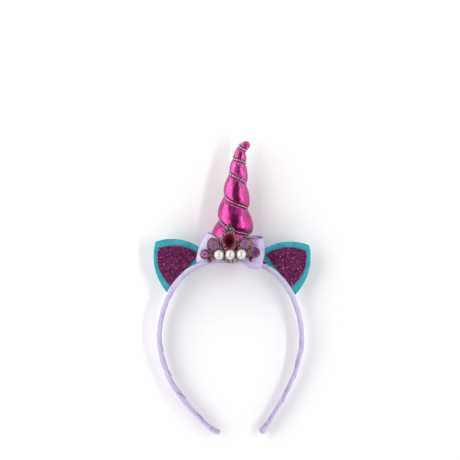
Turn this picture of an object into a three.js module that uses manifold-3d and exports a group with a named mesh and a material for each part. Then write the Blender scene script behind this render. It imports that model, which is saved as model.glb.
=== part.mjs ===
// A child's headband with a stuffed spiral horn, two felt ears, a ribbon bow and a small jewelled tiara.
// Millimetres. The headband is drawn as it is worn, seen from the front: X to the wearer's left, Y up and Z
// towards the viewer, with the origin just above the middle of the hoop. At the end it is laid on its back,
// so that it rests on the horn's foot and on the two ends of the hoop.
import * as THREE from 'three';
import { mergeVertices } from 'three/addons/utils/BufferGeometryUtils.js';
import Module from 'manifold-3d';

const wasm = await Module();
wasm.setup();

const TURN = 2 * Math.PI;
const GLUE_GAP = 0.3; // between two pieces that are glued or stitched to each other

// Hoop: a flat springy strip wound in satin ribbon
const HOOP_SPAN = 125.6; // between the middles of the two legs, at the widest
const HOOP_HEIGHT = 153.2; // from the middle of the crown to the lower end
const HOOP_TOP = -2.3; // the outside of the crown
const BAND_WIDTH = 10; // front to back
const BAND_THICKNESS = 3.9;
const BAND_CORNER = 0.9;
const BAND_STATIONS = 72;
const BAND_END_ROUND = 2.4; // length of the rounding at each end
const BAND_END_SWELL = { left: 0.1, right: 0.45 }; // the folded ribbon makes the ends this share thicker
const BAND_END_FOLD = 9; // length of that fold

// The hoop's middle line as shares: across of half the span, down of the height
const HOOP_CROWN = { across: 0, down: 0 };
const HOOP_SHOULDER = [
  { across: 0.37, down: 0.014 },
  { across: 0.655, down: 0.085 },
  { across: 0.885, down: 0.224 },
  { across: 1.0, down: 0.437 },
];
const HOOP_LEG_LEFT = [
  { across: 0.897, down: 0.642 },
  { across: 0.704, down: 0.781 },
  { across: 0.423, down: 0.919 },
  { across: 0.26, down: 0.978 },
  { across: 0.15, down: 1.0 },
];
const HOOP_LEG_RIGHT = [
  { across: 0.915, down: 0.642 },
  { across: 0.761, down: 0.781 },
  { across: 0.563, down: 0.919 },
  { across: 0.43, down: 1.0 },
];

// Horn: a stuffed cone, pinched by a cord that winds down it
const HORN_HEIGHT = 101.5; // from the foot to the middle of the tip
const HORN_LEAN = 17.3; // how far the tip lies towards the wearer's left
const HORN_HALF = 20.4; // half its width at the foot
const HORN_FLATTEN = 0.76; // its depth as a share of its width
const HORN_SINK = 1.0; // the foot reaches this far down the sides of the hoop
const HORN_FOOT_ROUND = 4;
const HORN_STEPS_AROUND = 20;
const HORN_STEPS_PER_PUFF = 6;
const GROOVE_AT_FOOT = 0.3; // depth of the groove as a share of the radius
const GROOVE_AT_TIP = 0.22;
const GROOVE_FLOOR = 2.3; // width of the groove's bottom as a multiple of the cord's thickness
const PUFF_ROUNDNESS = 0.5; // under 1 makes the puffs fuller than a sine
const PUFF_SAG = 0.82; // under 1 makes them fullest below their middle
const COILS_LEVEL_TO = 0.82; // the coils lie level up to this share of the axis
const COILS_SQUARE_FROM = 0.99; // and square to it from this one

// The horn's axis and width, as shares of its height, its lean and its half width
const HORN_SHAPE = [
  { rise: 0, sway: 0, half: 1 },
  { rise: 0.122, sway: 0.052, half: 0.99 },
  { rise: 0.24, sway: 0.11, half: 0.936 },
  { rise: 0.426, sway: 0.208, half: 0.725 },
  { rise: 0.603, sway: 0.277, half: 0.569 },
  { rise: 0.761, sway: 0.37, half: 0.431 },
  { rise: 0.9, sway: 0.462, half: 0.299 },
  { rise: 0.95, sway: 0.532, half: 0.235 },
  { rise: 0.979, sway: 0.63, half: 0.221 },
  { rise: 0.995, sway: 0.786, half: 0.216 },
  { rise: 1, sway: 1, half: 0.211 },
];
// How far along the axis the cord is at each turn, as a share of it, from below the foot to past the tip
const CORD_TURNS = [
  { turn: -1, along: -0.211 },
  { turn: 0, along: 0.072 },
  { turn: 1, along: 0.336 },
  { turn: 2, along: 0.537 },
  { turn: 3, along: 0.728 },
  { turn: 4, along: 0.849 },
  { turn: 4.5, along: 0.913 },
  { turn: 5, along: 0.94 },
  { turn: 6, along: 1.081 },
];
const TIP_ROUND = 4.6; // length of the rounding over the tip

// Cord in the groove
const CORD_THICKNESS = 1.1;
const CORD_SIDES = 6;
const CORD_FIRST_TURN = 0;
const CORD_LAST_TURN = 5.05;

// Bow of satin ribbon: a flat loop, pinched in the middle by its knot
const RIBBON_WIDTH = 28;
const RIBBON_WALL = 1;
const BOW_PINCHED = 18.6; // width of the ribbon in the knot
const BOW_MIDDLE = { x: 0.2, y: 5.4 };
const BOW_BEND = 4.6; // how far the ends of the loops bend back
const BOW_GATHER = 0.5; // height of the gathers in the knot
const BOW_GATHERS = 3;
const BOW_OPENS_FROM = 0.22; // share of each half at which the ribbon starts to spread
const BOW_STATIONS = 48;
const BOW_STEPS_ACROSS = 8;
const BOW_OPENING = 3.8; // half the depth of its loops, at the deepest
// Half the bow, from the pinch to the end of a loop, as shares of its half length and of that opening
const BOW_LOOP = [
  { out: 0.0, opening: 0.24 },
  { out: 0.22, opening: 0.25 },
  { out: 0.5, opening: 0.79 },
  { out: 0.8, opening: 1.0 },
  { out: 0.96, opening: 0.63 },
];
// How each loop lies, in millimetres and degrees: its length, the share of it at which the ribbon has spread
// to its full width, and the rise, lean and belly of its end
const BOW_LIE = {
  left: { half: 24.7, spread: 1.08, rise: 3.8, lean: 22.7, belly: 2.3 },
  right: { half: 26.8, spread: 0.75, rise: -1.8, lean: 4, belly: 2.3 },
};
const KNOT_WIDTH = 11;
const KNOT_WALL = 1;
const KNOT_SLACK = 0.3; // room round the pinched ribbon
const KNOT_CORNER = 0.25; // radius inside its corners
const KNOT_STEPS_ACROSS = 6;
const KNOT_CREASE = 0.3; // depth of the creases along the knot

// Tiara: a moulded crown, measured from the middle of its row of pearls
const TIARA_AT = { x: -0.3, y: 3.1 };
const TIARA_TILT = 1.6; // degrees
const TIARA_PLATE = 2; // thickness of the back plate
const TIARA_RIM = 1.2; // the rims stand this far above the plate
const TIARA_RIM_WIDTH = 1.1;
const PEARL = 8.8;
const PEARL_PITCH = 9.8;
const PEARL_SUNK = 0.8; // the pearls sit this deep in the plate's front
const STONE_CLEARANCE = 0.32;
const PEARL_CLEARANCE = 0.5;
const STONE_DEPTH = 0.9; // how far a stone is let into the plate
const STONE_CROWN = 2.2; // height of a stone above the bottom of its pocket
const STONE_TABLE = 0.58; // the flat top as a share of the outline
const STONE_SIDES = 12;
const STUD = 1.4; // the small stones of the border
const STUD_RISE = 0.5;
const STUD_SIDES = 5;
const STUD_PITCH = 2.0;

// The tiara's set stones: middle, half width, half height, turn in degrees and border width
const TIARA_STONES = {
  stone_pear: { x: -0.5, y: 11.4, wide: 5.1, high: 6.5, turn: 0, border: 3.0, pear: 1, colour: 0x6b0018 },
  stone_oval_left: { x: -14.3, y: 8.3, wide: 3.3, high: 4.2, turn: 16, border: 2.7, pear: 0, colour: 0x9d86c4 },
  stone_oval_right: { x: 13.3, y: 8.8, wide: 3.3, high: 4.2, turn: -16, border: 3.2, pear: 0, colour: 0x9d86c4 },
  stone_small_left: { x: -22.2, y: 0.7, wide: 2.2, high: 2.5, turn: 0, border: 2.2, pear: 0, colour: 0x5b2a86 },
  stone_small_right: { x: 21.9, y: 0.9, wide: 2.2, high: 2.6, turn: 0, border: 2.3, pear: 0, colour: 0x5b2a86 },
};
// Plain lobes that fill out the plate: middle and radii
const TIARA_LOBES = [
  { x: -0.2, y: 19.8, wide: 2.0, high: 3.0 },
  { x: -0.2, y: 21.7, wide: 4.7, high: 1.9 },
  { x: 0, y: 25.0, wide: 1.6, high: 2.2 },
  { x: -7.0, y: 4.6, wide: 3.6, high: 3.6 },
];
const TIARA_BASE = { half: 17, low: -3.2, high: 3.0 }; // the bar behind the pearls
const TIARA_FEET = { out: 1.3, y: -3.0, wide: 2.7, high: 4.4 }; // the scrolls beyond its ends

// Ears of felt, each with a glitter panel
const EAR_BASE = 49.5;
const EAR_HEIGHT = 38;
const EAR_TIP_SHIFT = 2.1; // the tip lies this far from the middle, towards the horn
const EAR_BULGE = 6.1; // how far each side bows out from its chord
const EAR_FELT = 3;
const EAR_BLUNT = 0.7; // share of the last step before the tip that is left, so that the tip is blunt
const EAR_TRIM = 1.4; // the felt starts this far inside the hoop's outer face and is trimmed to it
const EAR_STEPS = 12;
// Where the foot and the middle of each ear meet the hoop, measured along it from the crown
const EAR_SEATS = {
  left: { foot: 65.7, upper: 35.7 },
  right: { foot: 67.9, upper: 38.4 },
};
// The panels: where the base starts and ends and where the tip is, from the middle of the ear's base
const PANEL_THICKNESS = 1;
const PANELS = {
  left: { from: -17.8, to: 19.5, seam: 3.0, bulge: 5.0, tip: { x: 0.1, y: 32.6 } },
  right: { from: -16.4, to: 19.6, seam: 3.8, bulge: 5.0, tip: { x: 0.1, y: 32.8 } },
};
// A corner of the same sheet that shows between the right ear's panel and the bow
const SCRAP = [
  [28.0, -3.4],
  [28.2, -6.4],
  [31.4, -7.0],
  [31.6, -5.8],
  [30.0, -3.2],
];

// Makes one closed solid of a geometry, with its faces turned outwards.
function solidOf(geometry) {
  const bare = new THREE.BufferGeometry();
  bare.setAttribute('position', geometry.getAttribute('position'));
  if (geometry.index) bare.setIndex(geometry.index);
  const merged = mergeVertices(bare, 1e-4);
  const corners = merged.index.array;
  const triangles = [];
  for (let i = 0; i < corners.length; i += 3) {
    const [a, b, c] = corners.slice(i, i + 3);
    if (a !== b && b !== c && c !== a) triangles.push(a, b, c);
  }
  const mesh = (triVerts) =>
    new wasm.Mesh({ numProp: 3, vertProperties: merged.attributes.position.array, triVerts });
  const solid = new wasm.Manifold(mesh(new Uint32Array(triangles)));
  if (solid.volume() > 0) return solid;
  return new wasm.Manifold(mesh(new Uint32Array(triangles.reverse())));
}

function geometryOf(solid) {
  const made = solid.getMesh();
  const points = [];
  for (let i = 0; i < made.numVert; i += 1) {
    points.push(...made.vertProperties.slice(i * made.numProp, i * made.numProp + 3));
  }
  const geometry = new THREE.BufferGeometry();
  geometry.setAttribute('position', new THREE.Float32BufferAttribute(points, 3));
  geometry.setIndex([...made.triVerts]);
  geometry.computeVertexNormals();
  return geometry;
}

// A surface over a grid of points, point(row, column). Rows and columns are closed where asked.
function sheetGeometry(rows, columns, point, closedRows, closedColumns) {
  const positions = [];
  for (let i = 0; i < rows; i += 1) {
    for (let j = 0; j < columns; j += 1) positions.push(...point(i, j).toArray());
  }
  const index = [];
  const lastRow = closedRows ? rows : rows - 1;
  const lastColumn = closedColumns ? columns : columns - 1;
  for (let i = 0; i < lastRow; i += 1) {
    for (let j = 0; j < lastColumn; j += 1) {
      const a = i * columns + j;
      const b = i * columns + ((j + 1) % columns);
      const c = ((i + 1) % rows) * columns + ((j + 1) % columns);
      const d = ((i + 1) % rows) * columns + j;
      index.push(a, b, c, a, c, d);
    }
  }
  const geometry = new THREE.BufferGeometry();
  geometry.setAttribute('position', new THREE.Float32BufferAttribute(positions, 3));
  geometry.setIndex(index);
  return geometry;
}

// A closed solid through rings of points, with a flat or pointed cap at each end.
function loft(rings) {
  const middle = (ring) =>
    ring.reduce((sum, p) => sum.add(p), new THREE.Vector3()).divideScalar(ring.length);
  const first = middle(rings[0]);
  const last = middle(rings[rings.length - 1]);
  const count = rings[0].length;
  const all = [Array(count).fill(first), ...rings, Array(count).fill(last)];
  return solidOf(sheetGeometry(all.length, count, (i, j) => all[i][j], false, true));
}

// A smooth curve of (where, value) rows, read by where.
function blendRows(rows, whereKey, valueKey) {
  const curve = new THREE.SplineCurve(rows.map((r) => new THREE.Vector2(r[whereKey], r[valueKey])));
  return (where) => {
    let low = 0;
    let high = 1;
    for (let i = 0; i < 40; i += 1) {
      const middle = (low + high) / 2;
      if (curve.getPoint(middle).x < where) low = middle;
      else high = middle;
    }
    return curve.getPoint((low + high) / 2).y;
  };
}

// Points on an arc from one point to another that bows out to the left by the given height.
function arcPoints(from, to, bow, steps) {
  const chord = from.distanceTo(to);
  const radius = (chord * chord) / (8 * bow) + bow / 2;
  const half = Math.asin(chord / (2 * radius));
  const along = to.clone().sub(from).normalize();
  const left = new THREE.Vector2(-along.y, along.x);
  const centre = from.clone().add(to).multiplyScalar(0.5).addScaledVector(left, bow - radius);
  const points = [];
  for (let i = 0; i <= steps; i += 1) {
    const angle = -half + (2 * half * i) / steps;
    const point = centre.clone();
    point.addScaledVector(left, radius * Math.cos(angle)).addScaledVector(along, radius * Math.sin(angle));
    points.push(point);
  }
  return points;
}

// A flat plate of an outline, from one depth to another.
function plate(points, back, front) {
  const shape = new THREE.Shape(points);
  const geometry = new THREE.ExtrudeGeometry(shape, { depth: front - back, bevelEnabled: false });
  return solidOf(geometry.translate(0, 0, back));
}

// The hoop's middle line runs from the lower left end over the crown to the lower right end.
const hoopPoint = (row, side) =>
  new THREE.Vector3(
    (side * row.across * HOOP_SPAN) / 2,
    HOOP_TOP - BAND_THICKNESS / 2 - row.down * HOOP_HEIGHT,
    0,
  );
const hoopLine = new THREE.CatmullRomCurve3(
  [
    ...[...HOOP_LEG_LEFT].reverse().map((row) => hoopPoint(row, -1)),
    ...[...HOOP_SHOULDER].reverse().map((row) => hoopPoint(row, -1)),
    hoopPoint(HOOP_CROWN, 1),
    ...HOOP_SHOULDER.map((row) => hoopPoint(row, 1)),
    ...HOOP_LEG_RIGHT.map((row) => hoopPoint(row, 1)),
  ],
  false,
  'centripetal',
);
hoopLine.arcLengthDivisions = 1200;
const hoopLength = hoopLine.getLength();

// The share of the hoop's length at which it crosses the middle plane.
function crownShare() {
  let low = 0.2;
  let high = 0.8;
  for (let i = 0; i < 40; i += 1) {
    const middle = (low + high) / 2;
    if (hoopLine.getPointAt(middle).x < 0) low = middle;
    else high = middle;
  }
  return (low + high) / 2;
}
const HOOP_CROWN_SHARE = crownShare();

// A place on the hoop: its middle, the direction along it and the direction out of it.
function hoopAt(share) {
  const along = hoopLine.getTangentAt(share);
  return { middle: hoopLine.getPointAt(share), along, out: new THREE.Vector3(-along.y, along.x, 0) };
}

// The band's section at one place, made larger all round by the given margin.
function bandRing(share, margin, thicken) {
  const { middle, out } = hoopAt(share);
  const wide = (BAND_WIDTH / 2) * (1 + (thicken - 1) * 0.4) + margin;
  const thick = (BAND_THICKNESS / 2) * thicken + margin;
  const corner = Math.min(BAND_CORNER, thick / 2);
  const corners = [
    [thick, wide - corner],
    [thick - corner, wide],
    [corner - thick, wide],
    [-thick, wide - corner],
    [-thick, corner - wide],
    [corner - thick, -wide],
    [thick - corner, -wide],
    [thick, corner - wide],
  ];
  return corners.map(([outwards, forwards]) => {
    const point = middle.clone().addScaledVector(out, outwards);
    point.z = forwards;
    return point;
  });
}

// How thick the wound band is near its ends, where the ribbon is folded over.
function endSwell(distance, swell) {
  const fold = Math.max(0, 1 - distance / BAND_END_FOLD);
  const rounding = distance < BAND_END_ROUND ? Math.sqrt(1 - (1 - distance / BAND_END_ROUND) ** 2) : 1;
  return (1 + swell * fold * fold * (3 - 2 * fold)) * Math.max(rounding, 0.25);
}

function makeBand(margin = 0) {
  const ends = [0, 0.15, 0.45].map((part) => (part * BAND_END_ROUND) / hoopLength);
  const inner = BAND_END_ROUND / hoopLength;
  const shares = [...ends];
  for (let i = 0; i <= BAND_STATIONS; i += 1) shares.push(inner + ((1 - 2 * inner) * i) / BAND_STATIONS);
  shares.push(...[...ends].reverse().map((share) => 1 - share));
  return loft(
    shares.map((share) => {
      const swell = share < 0.5 ? BAND_END_SWELL.left : BAND_END_SWELL.right;
      return bandRing(share, margin, endSwell(Math.min(share, 1 - share) * hoopLength, swell));
    }),
  );
}

// The horn's axis, from its foot to its tip, stands on the crown.
const HORN_FOOT = HOOP_TOP - HORN_SINK;
const AXIS_STEPS = 100; // between two rows of HORN_SHAPE, when the axis is measured
const hornAxis = new THREE.CatmullRomCurve3(
  HORN_SHAPE.map(({ rise, sway }) => new THREE.Vector3(sway * HORN_LEAN, HORN_FOOT + rise * HORN_HEIGHT, 0)),
  false,
  'centripetal',
);
hornAxis.arcLengthDivisions = AXIS_STEPS * (HORN_SHAPE.length - 1);
const hornLength = hornAxis.getLength();
const hornHalf = blendRows(
  HORN_SHAPE.map(({ half }, i) => ({
    along: hornAxis.getLengths()[i * AXIS_STEPS],
    half: half * HORN_HALF,
  })),
  'along',
  'half',
);
const cordShare = blendRows(CORD_TURNS, 'turn', 'along');
const cordAlong = (turn) => cordShare(turn) * hornLength;

// The turn of the cord at a place along the horn, the other way round from cordAlong.
function turnAt(along) {
  let low = CORD_TURNS[0].turn;
  let high = CORD_TURNS[CORD_TURNS.length - 1].turn;
  for (let i = 0; i < 40; i += 1) {
    const middle = (low + high) / 2;
    if (cordAlong(middle) < along) low = middle;
    else high = middle;
  }
  return (low + high) / 2;
}

// Half the horn's width without the groove, rounded under at the foot and over the tip.
function hornRadius(along) {
  const under = Math.max(0, 1 - along / HORN_FOOT_ROUND);
  const over = Math.max(0, 1 - (hornLength - along) / TIP_ROUND);
  return hornHalf(along) * (1 - 0.16 * under * under) * Math.sqrt(Math.max(0, 1 - over * over));
}

// A point on the horn in the direction of a turn, at a share of its radius and a distance more.
function hornPoint(along, turn, share, more) {
  const middle = hornAxis.getPointAt(along / hornLength);
  const up = hornAxis.getTangentAt(along / hornLength);
  const square = THREE.MathUtils.smoothstep(along / hornLength, COILS_LEVEL_TO, COILS_SQUARE_FROM);
  const left = new THREE.Vector3(-up.y, up.x * square, 0).normalize();
  const radius = hornRadius(along) * share;
  const angle = turn * TURN;
  const point = middle.addScaledVector(left, (radius + more) * Math.cos(angle));
  point.z -= (radius * HORN_FLATTEN + more) * Math.sin(angle);
  return point;
}

// The share of the horn's radius that is left between two passes of the cord, 0 at one and 1 at the next.
function puff(along, between) {
  const depth = GROOVE_AT_FOOT + ((GROOVE_AT_TIP - GROOVE_AT_FOOT) * along) / hornLength;
  return 1 - depth * (1 - Math.sin(Math.PI * between ** PUFF_SAG) ** PUFF_ROUNDNESS);
}

function hornBody() {
  const lastTurn = turnAt(hornLength);
  const firstStep = Math.floor((turnAt(0) - 1) * HORN_STEPS_AROUND);
  const rows = Math.ceil(lastTurn * HORN_STEPS_AROUND) - firstStep + 1;
  const columns = HORN_STEPS_PER_PUFF + 3;
  const flat = (GROOVE_FLOOR * CORD_THICKNESS) / 2;
  // A row runs up the horn from one pass of the cord to the next: groove, puff, groove.
  const point = (i, j) => {
    const turn = (firstStep + i) / HORN_STEPS_AROUND;
    const passes = [0, 1, 2].map((n) => cordAlong(Math.min(turn + n, CORD_TURNS.at(-1).turn)));
    const [low, high] = passes;
    const part = (1 - Math.cos((Math.PI * (j - 1)) / HORN_STEPS_PER_PUFF)) / 2;
    let up = low + flat + part * (high - low - 2 * flat);
    if (j === 0) up = low;
    if (j === columns - 1) up = high;
    const along = Math.min(Math.max(up, 0), hornLength);
    const [under, over] = along < high ? passes : passes.slice(1);
    const between = Math.min(Math.max((along - under - flat) / (over - under - 2 * flat), 0), 1);
    return hornPoint(along, turn, puff(along, between), 0);
  };
  const side = sheetGeometry(rows, columns, point, false, false);
  const foot = hornAxis.getPointAt(0);
  const positions = [...side.getAttribute('position').array, ...foot.toArray()];
  // A fan from the middle of the foot to the bottom of the first turn's rows closes it.
  const index = [...side.index.array];
  for (let i = 0; i < HORN_STEPS_AROUND; i += 1) index.push(i * columns, (i + 1) * columns, rows * columns);
  side.setAttribute('position', new THREE.Float32BufferAttribute(positions, 3));
  side.setIndex(index);
  return solidOf(side);
}

function makeHornThread() {
  const radius = CORD_THICKNESS / 2;
  const steps = Math.round((CORD_LAST_TURN - CORD_FIRST_TURN) * HORN_STEPS_AROUND);
  const at = (i, more) => {
    const turn = CORD_FIRST_TURN + i / HORN_STEPS_AROUND;
    return hornPoint(cordAlong(turn), turn, puff(cordAlong(turn), 0), more);
  };
  const rings = [];
  for (let i = 0; i <= steps; i += 1) {
    const middle = at(i, GLUE_GAP + radius);
    const ahead = at(i + 0.5, GLUE_GAP + radius).sub(at(i - 0.5, GLUE_GAP + radius)).normalize();
    const across = new THREE.Vector3().crossVectors(ahead, middle.clone().sub(at(i, 0))).normalize();
    const out = new THREE.Vector3().crossVectors(across, ahead);
    const ring = [];
    for (let k = 0; k < CORD_SIDES; k += 1) {
      const angle = ((k + 0.5) * TURN) / CORD_SIDES;
      const point = middle.clone().addScaledVector(out, radius * Math.cos(angle));
      ring.push(point.addScaledVector(across, radius * Math.sin(angle)));
    }
    rings.push(ring);
  }
  return loft(rings);
}

// The bow's loop seen from above: a closed line, pinched in the middle, that bends back round the horn.
function bowLoop() {
  const front = BOW_LOOP.map(({ out, opening }) => new THREE.Vector3(out, 0, opening * BOW_OPENING));
  const back = BOW_LOOP.map(({ out, opening }) => new THREE.Vector3(out, 0, -opening * BOW_OPENING));
  const mirrored = (points) => points.map((p) => new THREE.Vector3(-p.x, 0, p.z));
  const end = new THREE.Vector3(1, 0, 0);
  return new THREE.CatmullRomCurve3(
    [
      ...front,
      end,
      ...back.slice(1).reverse(),
      back[0],
      ...mirrored(back.slice(1)),
      new THREE.Vector3(-1, 0, 0),
      ...mirrored(front.slice(1)).reverse(),
    ],
    true,
    'centripetal',
  );
}

// The middle of the ribbon's wall: s runs round the loop from 0 to 1, t across the ribbon from its lower edge.
function bowPoint(loop, middleZ, s, t, offset) {
  const flat = loop.getPoint(s);
  const ahead = loop.getPoint((s + 0.002) % 1);
  const lie = flat.x < 0 ? BOW_LIE.left : BOW_LIE.right;
  const along = new THREE.Vector3((ahead.x - flat.x) * lie.half, 0, ahead.z - flat.z).normalize();
  const out = Math.abs(flat.x);
  const open = THREE.MathUtils.smoothstep(out, BOW_OPENS_FROM, lie.spread);
  const width = BOW_PINCHED + (RIBBON_WIDTH - BOW_PINCHED) * open;
  const beyond = Math.max(0, out - BOW_OPENS_FROM) / (1 - BOW_OPENS_FROM); // 0 in the knot
  const lean = THREE.MathUtils.degToRad(lie.lean * beyond);
  const across = (t - 0.5) * width;
  const gathers = BOW_GATHER * (1 - open) * Math.cos(BOW_GATHERS * TURN * t);
  const belly = lie.belly * out * Math.sin(Math.PI * t) * Math.sign(flat.x);
  return new THREE.Vector3(
    BOW_MIDDLE.x + flat.x * lie.half + across * Math.sin(lean) + belly - along.z * offset,
    BOW_MIDDLE.y + lie.rise * beyond + across * Math.cos(lean),
    middleZ - BOW_BEND * out * out + flat.z + gathers + along.x * offset,
  );
}

function makeBow(middleZ) {
  const loop = bowLoop();
  const half = RIBBON_WALL / 2;
  const ribs = BOW_STEPS_ACROSS + 1;
  // Up the outer face of the wall, then down its inner one.
  const point = (i, j) => {
    const outer = j < ribs;
    const t = (outer ? j : 2 * ribs - 1 - j) / BOW_STEPS_ACROSS;
    return bowPoint(loop, middleZ, i / BOW_STATIONS, t, outer ? half : -half);
  };
  return solidOf(sheetGeometry(BOW_STATIONS, 2 * ribs, point, true, true));
}

// Half the height and half the depth that the knot has to go round.
const knotInside = {
  high: BOW_PINCHED / 2 + GLUE_GAP + KNOT_SLACK,
  deep: BOW_LOOP[0].opening * BOW_OPENING + RIBBON_WALL / 2 + BOW_GATHER + GLUE_GAP + KNOT_SLACK,
};

// The knot is a short sleeve of ribbon round the pinch, creased along its length.
function makeBowKnot(middleZ) {
  const ribs = KNOT_STEPS_ACROSS + 1;
  const ring = (more) => {
    const points = [];
    for (let i = 0; i < 12; i += 1) {
      const quarter = Math.floor(i / 3);
      const angle = ((quarter + (i % 3) / 2) * Math.PI) / 2;
      const [up, front] = [[1, 1], [-1, 1], [-1, -1], [1, -1]][quarter];
      points.push({
        y: up * (knotInside.high - KNOT_CORNER) + (KNOT_CORNER + more) * Math.cos(angle),
        z: front * (knotInside.deep - KNOT_CORNER) + (KNOT_CORNER + more) * Math.sin(angle),
      });
    }
    return points;
  };
  const point = (i, j) => {
    const outer = j < ribs;
    const t = (outer ? j : 2 * ribs - 1 - j) / KNOT_STEPS_ACROSS;
    const crease = KNOT_CREASE * Math.cos(1.5 * TURN * t) ** 2;
    const { y, z } = ring(outer ? KNOT_WALL - crease : 0)[i];
    return new THREE.Vector3(BOW_MIDDLE.x + (t - 0.5) * KNOT_WIDTH, BOW_MIDDLE.y + y, middleZ + z);
  };
  return solidOf(sheetGeometry(12, 2 * ribs, point, true, true));
}

// The outline of a stone or of its border, grown by a margin. A pear is drawn down to a point.
function stoneOutline(stone, grow, sides) {
  const points = [];
  const turn = THREE.MathUtils.degToRad(stone.turn);
  for (let i = 0; i < sides; i += 1) {
    const angle = (i * TURN) / sides + Math.PI / 2;
    const narrow = stone.pear ? 1 - 0.42 * Math.max(0, -Math.sin(angle)) ** 1.1 : 1;
    const x = (stone.wide + grow) * Math.cos(angle) * narrow;
    const y = (stone.high + grow) * Math.sin(angle);
    points.push(
      new THREE.Vector2(
        stone.x + x * Math.cos(turn) - y * Math.sin(turn),
        stone.y + x * Math.sin(turn) + y * Math.cos(turn),
      ),
    );
  }
  return points;
}

const lobe = (spec) => ({ ...spec, turn: 0, pear: 0 });

// A low faceted dome for one of the border's small stones.
function stud(x, y, base) {
  const ring = (radius, z) =>
    Array.from({ length: STUD_SIDES }, (_, i) => {
      const angle = (i * TURN) / STUD_SIDES;
      return new THREE.Vector3(x + radius * Math.cos(angle), y + radius * Math.sin(angle), z);
    });
  return loft([ring(STUD / 2, base - STUD_RISE / 2), ring(STUD / 2, base), ring(STUD / 4, base + STUD_RISE)]);
}

// Places spaced evenly round a closed outline.
function roundOutline(points, pitch) {
  const curve = new THREE.CatmullRomCurve3(points.map((p) => new THREE.Vector3(p.x, p.y, 0)), true);
  const count = Math.round(curve.getLength() / pitch);
  return curve.getSpacedPoints(count).slice(0, count);
}

function pearlPlaces() {
  return { pearl_left: -PEARL_PITCH, pearl_middle: 0, pearl_right: PEARL_PITCH };
}

function makeTiara() {
  const stones = Object.values(TIARA_STONES);
  let body = plate(
    [
      new THREE.Vector2(-TIARA_BASE.half, TIARA_BASE.low),
      new THREE.Vector2(TIARA_BASE.half, TIARA_BASE.low),
      new THREE.Vector2(TIARA_BASE.half, TIARA_BASE.high),
      new THREE.Vector2(-TIARA_BASE.half, TIARA_BASE.high),
    ],
    0,
    TIARA_PLATE,
  );
  const feet = [-1, 1].map((side) => ({ ...TIARA_FEET, x: side * (TIARA_BASE.half + TIARA_FEET.out) }));
  const lobes = [...feet, ...TIARA_LOBES];
  for (const spec of lobes) body = body.add(plate(stoneOutline(lobe(spec), 0, 12), 0, TIARA_PLATE));
  for (const stone of stones) {
    body = body.add(plate(stoneOutline(stone, stone.border, 18), 0, TIARA_PLATE));
  }
  const seats = [];
  for (const stone of stones) {
    const rim = plate(stoneOutline(stone, TIARA_RIM_WIDTH, 18), TIARA_PLATE / 2, TIARA_PLATE + TIARA_RIM);
    body = body.add(rim);
    const middle = stoneOutline(stone, (TIARA_RIM_WIDTH + stone.border) / 2, 18);
    seats.push(...roundOutline(middle, STUD_PITCH));
  }
  for (const spec of lobes) {
    seats.push(...roundOutline(stoneOutline(lobe(spec), -STUD, 12), STUD_PITCH));
  }
  const taken = [];
  for (const seat of seats) {
    const inStone = stones.some((stone) => {
      const dx = (seat.x - stone.x) / (stone.wide + TIARA_RIM_WIDTH);
      const dy = (seat.y - stone.y) / (stone.high + TIARA_RIM_WIDTH);
      return Math.hypot(dx, dy) < 1.02;
    });
    const nearPearl = Object.values(pearlPlaces()).some((x) => Math.hypot(seat.x - x, seat.y) < PEARL / 2);
    const crowded = taken.some((other) => other.distanceTo(seat) < STUD * 1.15);
    if (!inStone && !nearPearl && !crowded) taken.push(seat);
  }
  for (const seat of taken) body = body.add(stud(seat.x, seat.y, TIARA_PLATE));
  for (const stone of stones) {
    const floor = TIARA_PLATE - STONE_DEPTH;
    body = body.subtract(plate(stoneOutline(stone, STONE_CLEARANCE, STONE_SIDES), floor, 20));
  }
  for (const x of Object.values(pearlPlaces())) {
    body = body.subtract(pearlSolid(x, PEARL / 2 + PEARL_CLEARANCE));
  }
  return body;
}

function makeStone(stone) {
  const floor = TIARA_PLATE - STONE_DEPTH + GLUE_GAP;
  const ring = (shrink, z) =>
    stoneOutline({ ...stone, wide: stone.wide * shrink, high: stone.high * shrink }, 0, STONE_SIDES).map(
      (p) => new THREE.Vector3(p.x, p.y, z),
    );
  const girdle = floor + STONE_CROWN * 0.45;
  return loft([ring(0.9, floor), ring(1, floor + 0.3), ring(1, girdle), ring(STONE_TABLE, floor + STONE_CROWN)]);
}

// A pearl is a ball with a flat back, let into the plate.
function pearlSolid(x, radius) {
  const flat = -radius * 0.55;
  const profile = [new THREE.Vector2(0, flat)];
  const from = Math.asin(flat / radius);
  const steps = 7;
  for (let i = 0; i <= steps; i += 1) {
    const angle = from + ((Math.PI / 2 - from) * i) / steps;
    profile.push(new THREE.Vector2(i === steps ? 0 : radius * Math.cos(angle), radius * Math.sin(angle)));
  }
  const turned = new THREE.LatheGeometry(profile, 12).rotateX(Math.PI / 2);
  const centre = TIARA_PLATE - PEARL_SUNK + (PEARL / 2) * 0.55 + GLUE_GAP;
  return solidOf(turned.translate(x, 0, centre));
}

// An outline with a straight base and two bowed sides that meet in a blunt tip, its base along X.
function leafOutline(from, to, base, tip, bulge) {
  const foot = new THREE.Vector2(from, base);
  const head = new THREE.Vector2(to, base);
  const point = new THREE.Vector2(tip.x, tip.y);
  const up = arcPoints(foot, point, bulge, EAR_STEPS);
  const down = arcPoints(point, head, bulge, EAR_STEPS);
  up[EAR_STEPS].lerpVectors(up[EAR_STEPS - 1], point, EAR_BLUNT);
  down[0].lerpVectors(down[1], point, EAR_BLUNT);
  return [...up, ...down];
}

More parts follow.
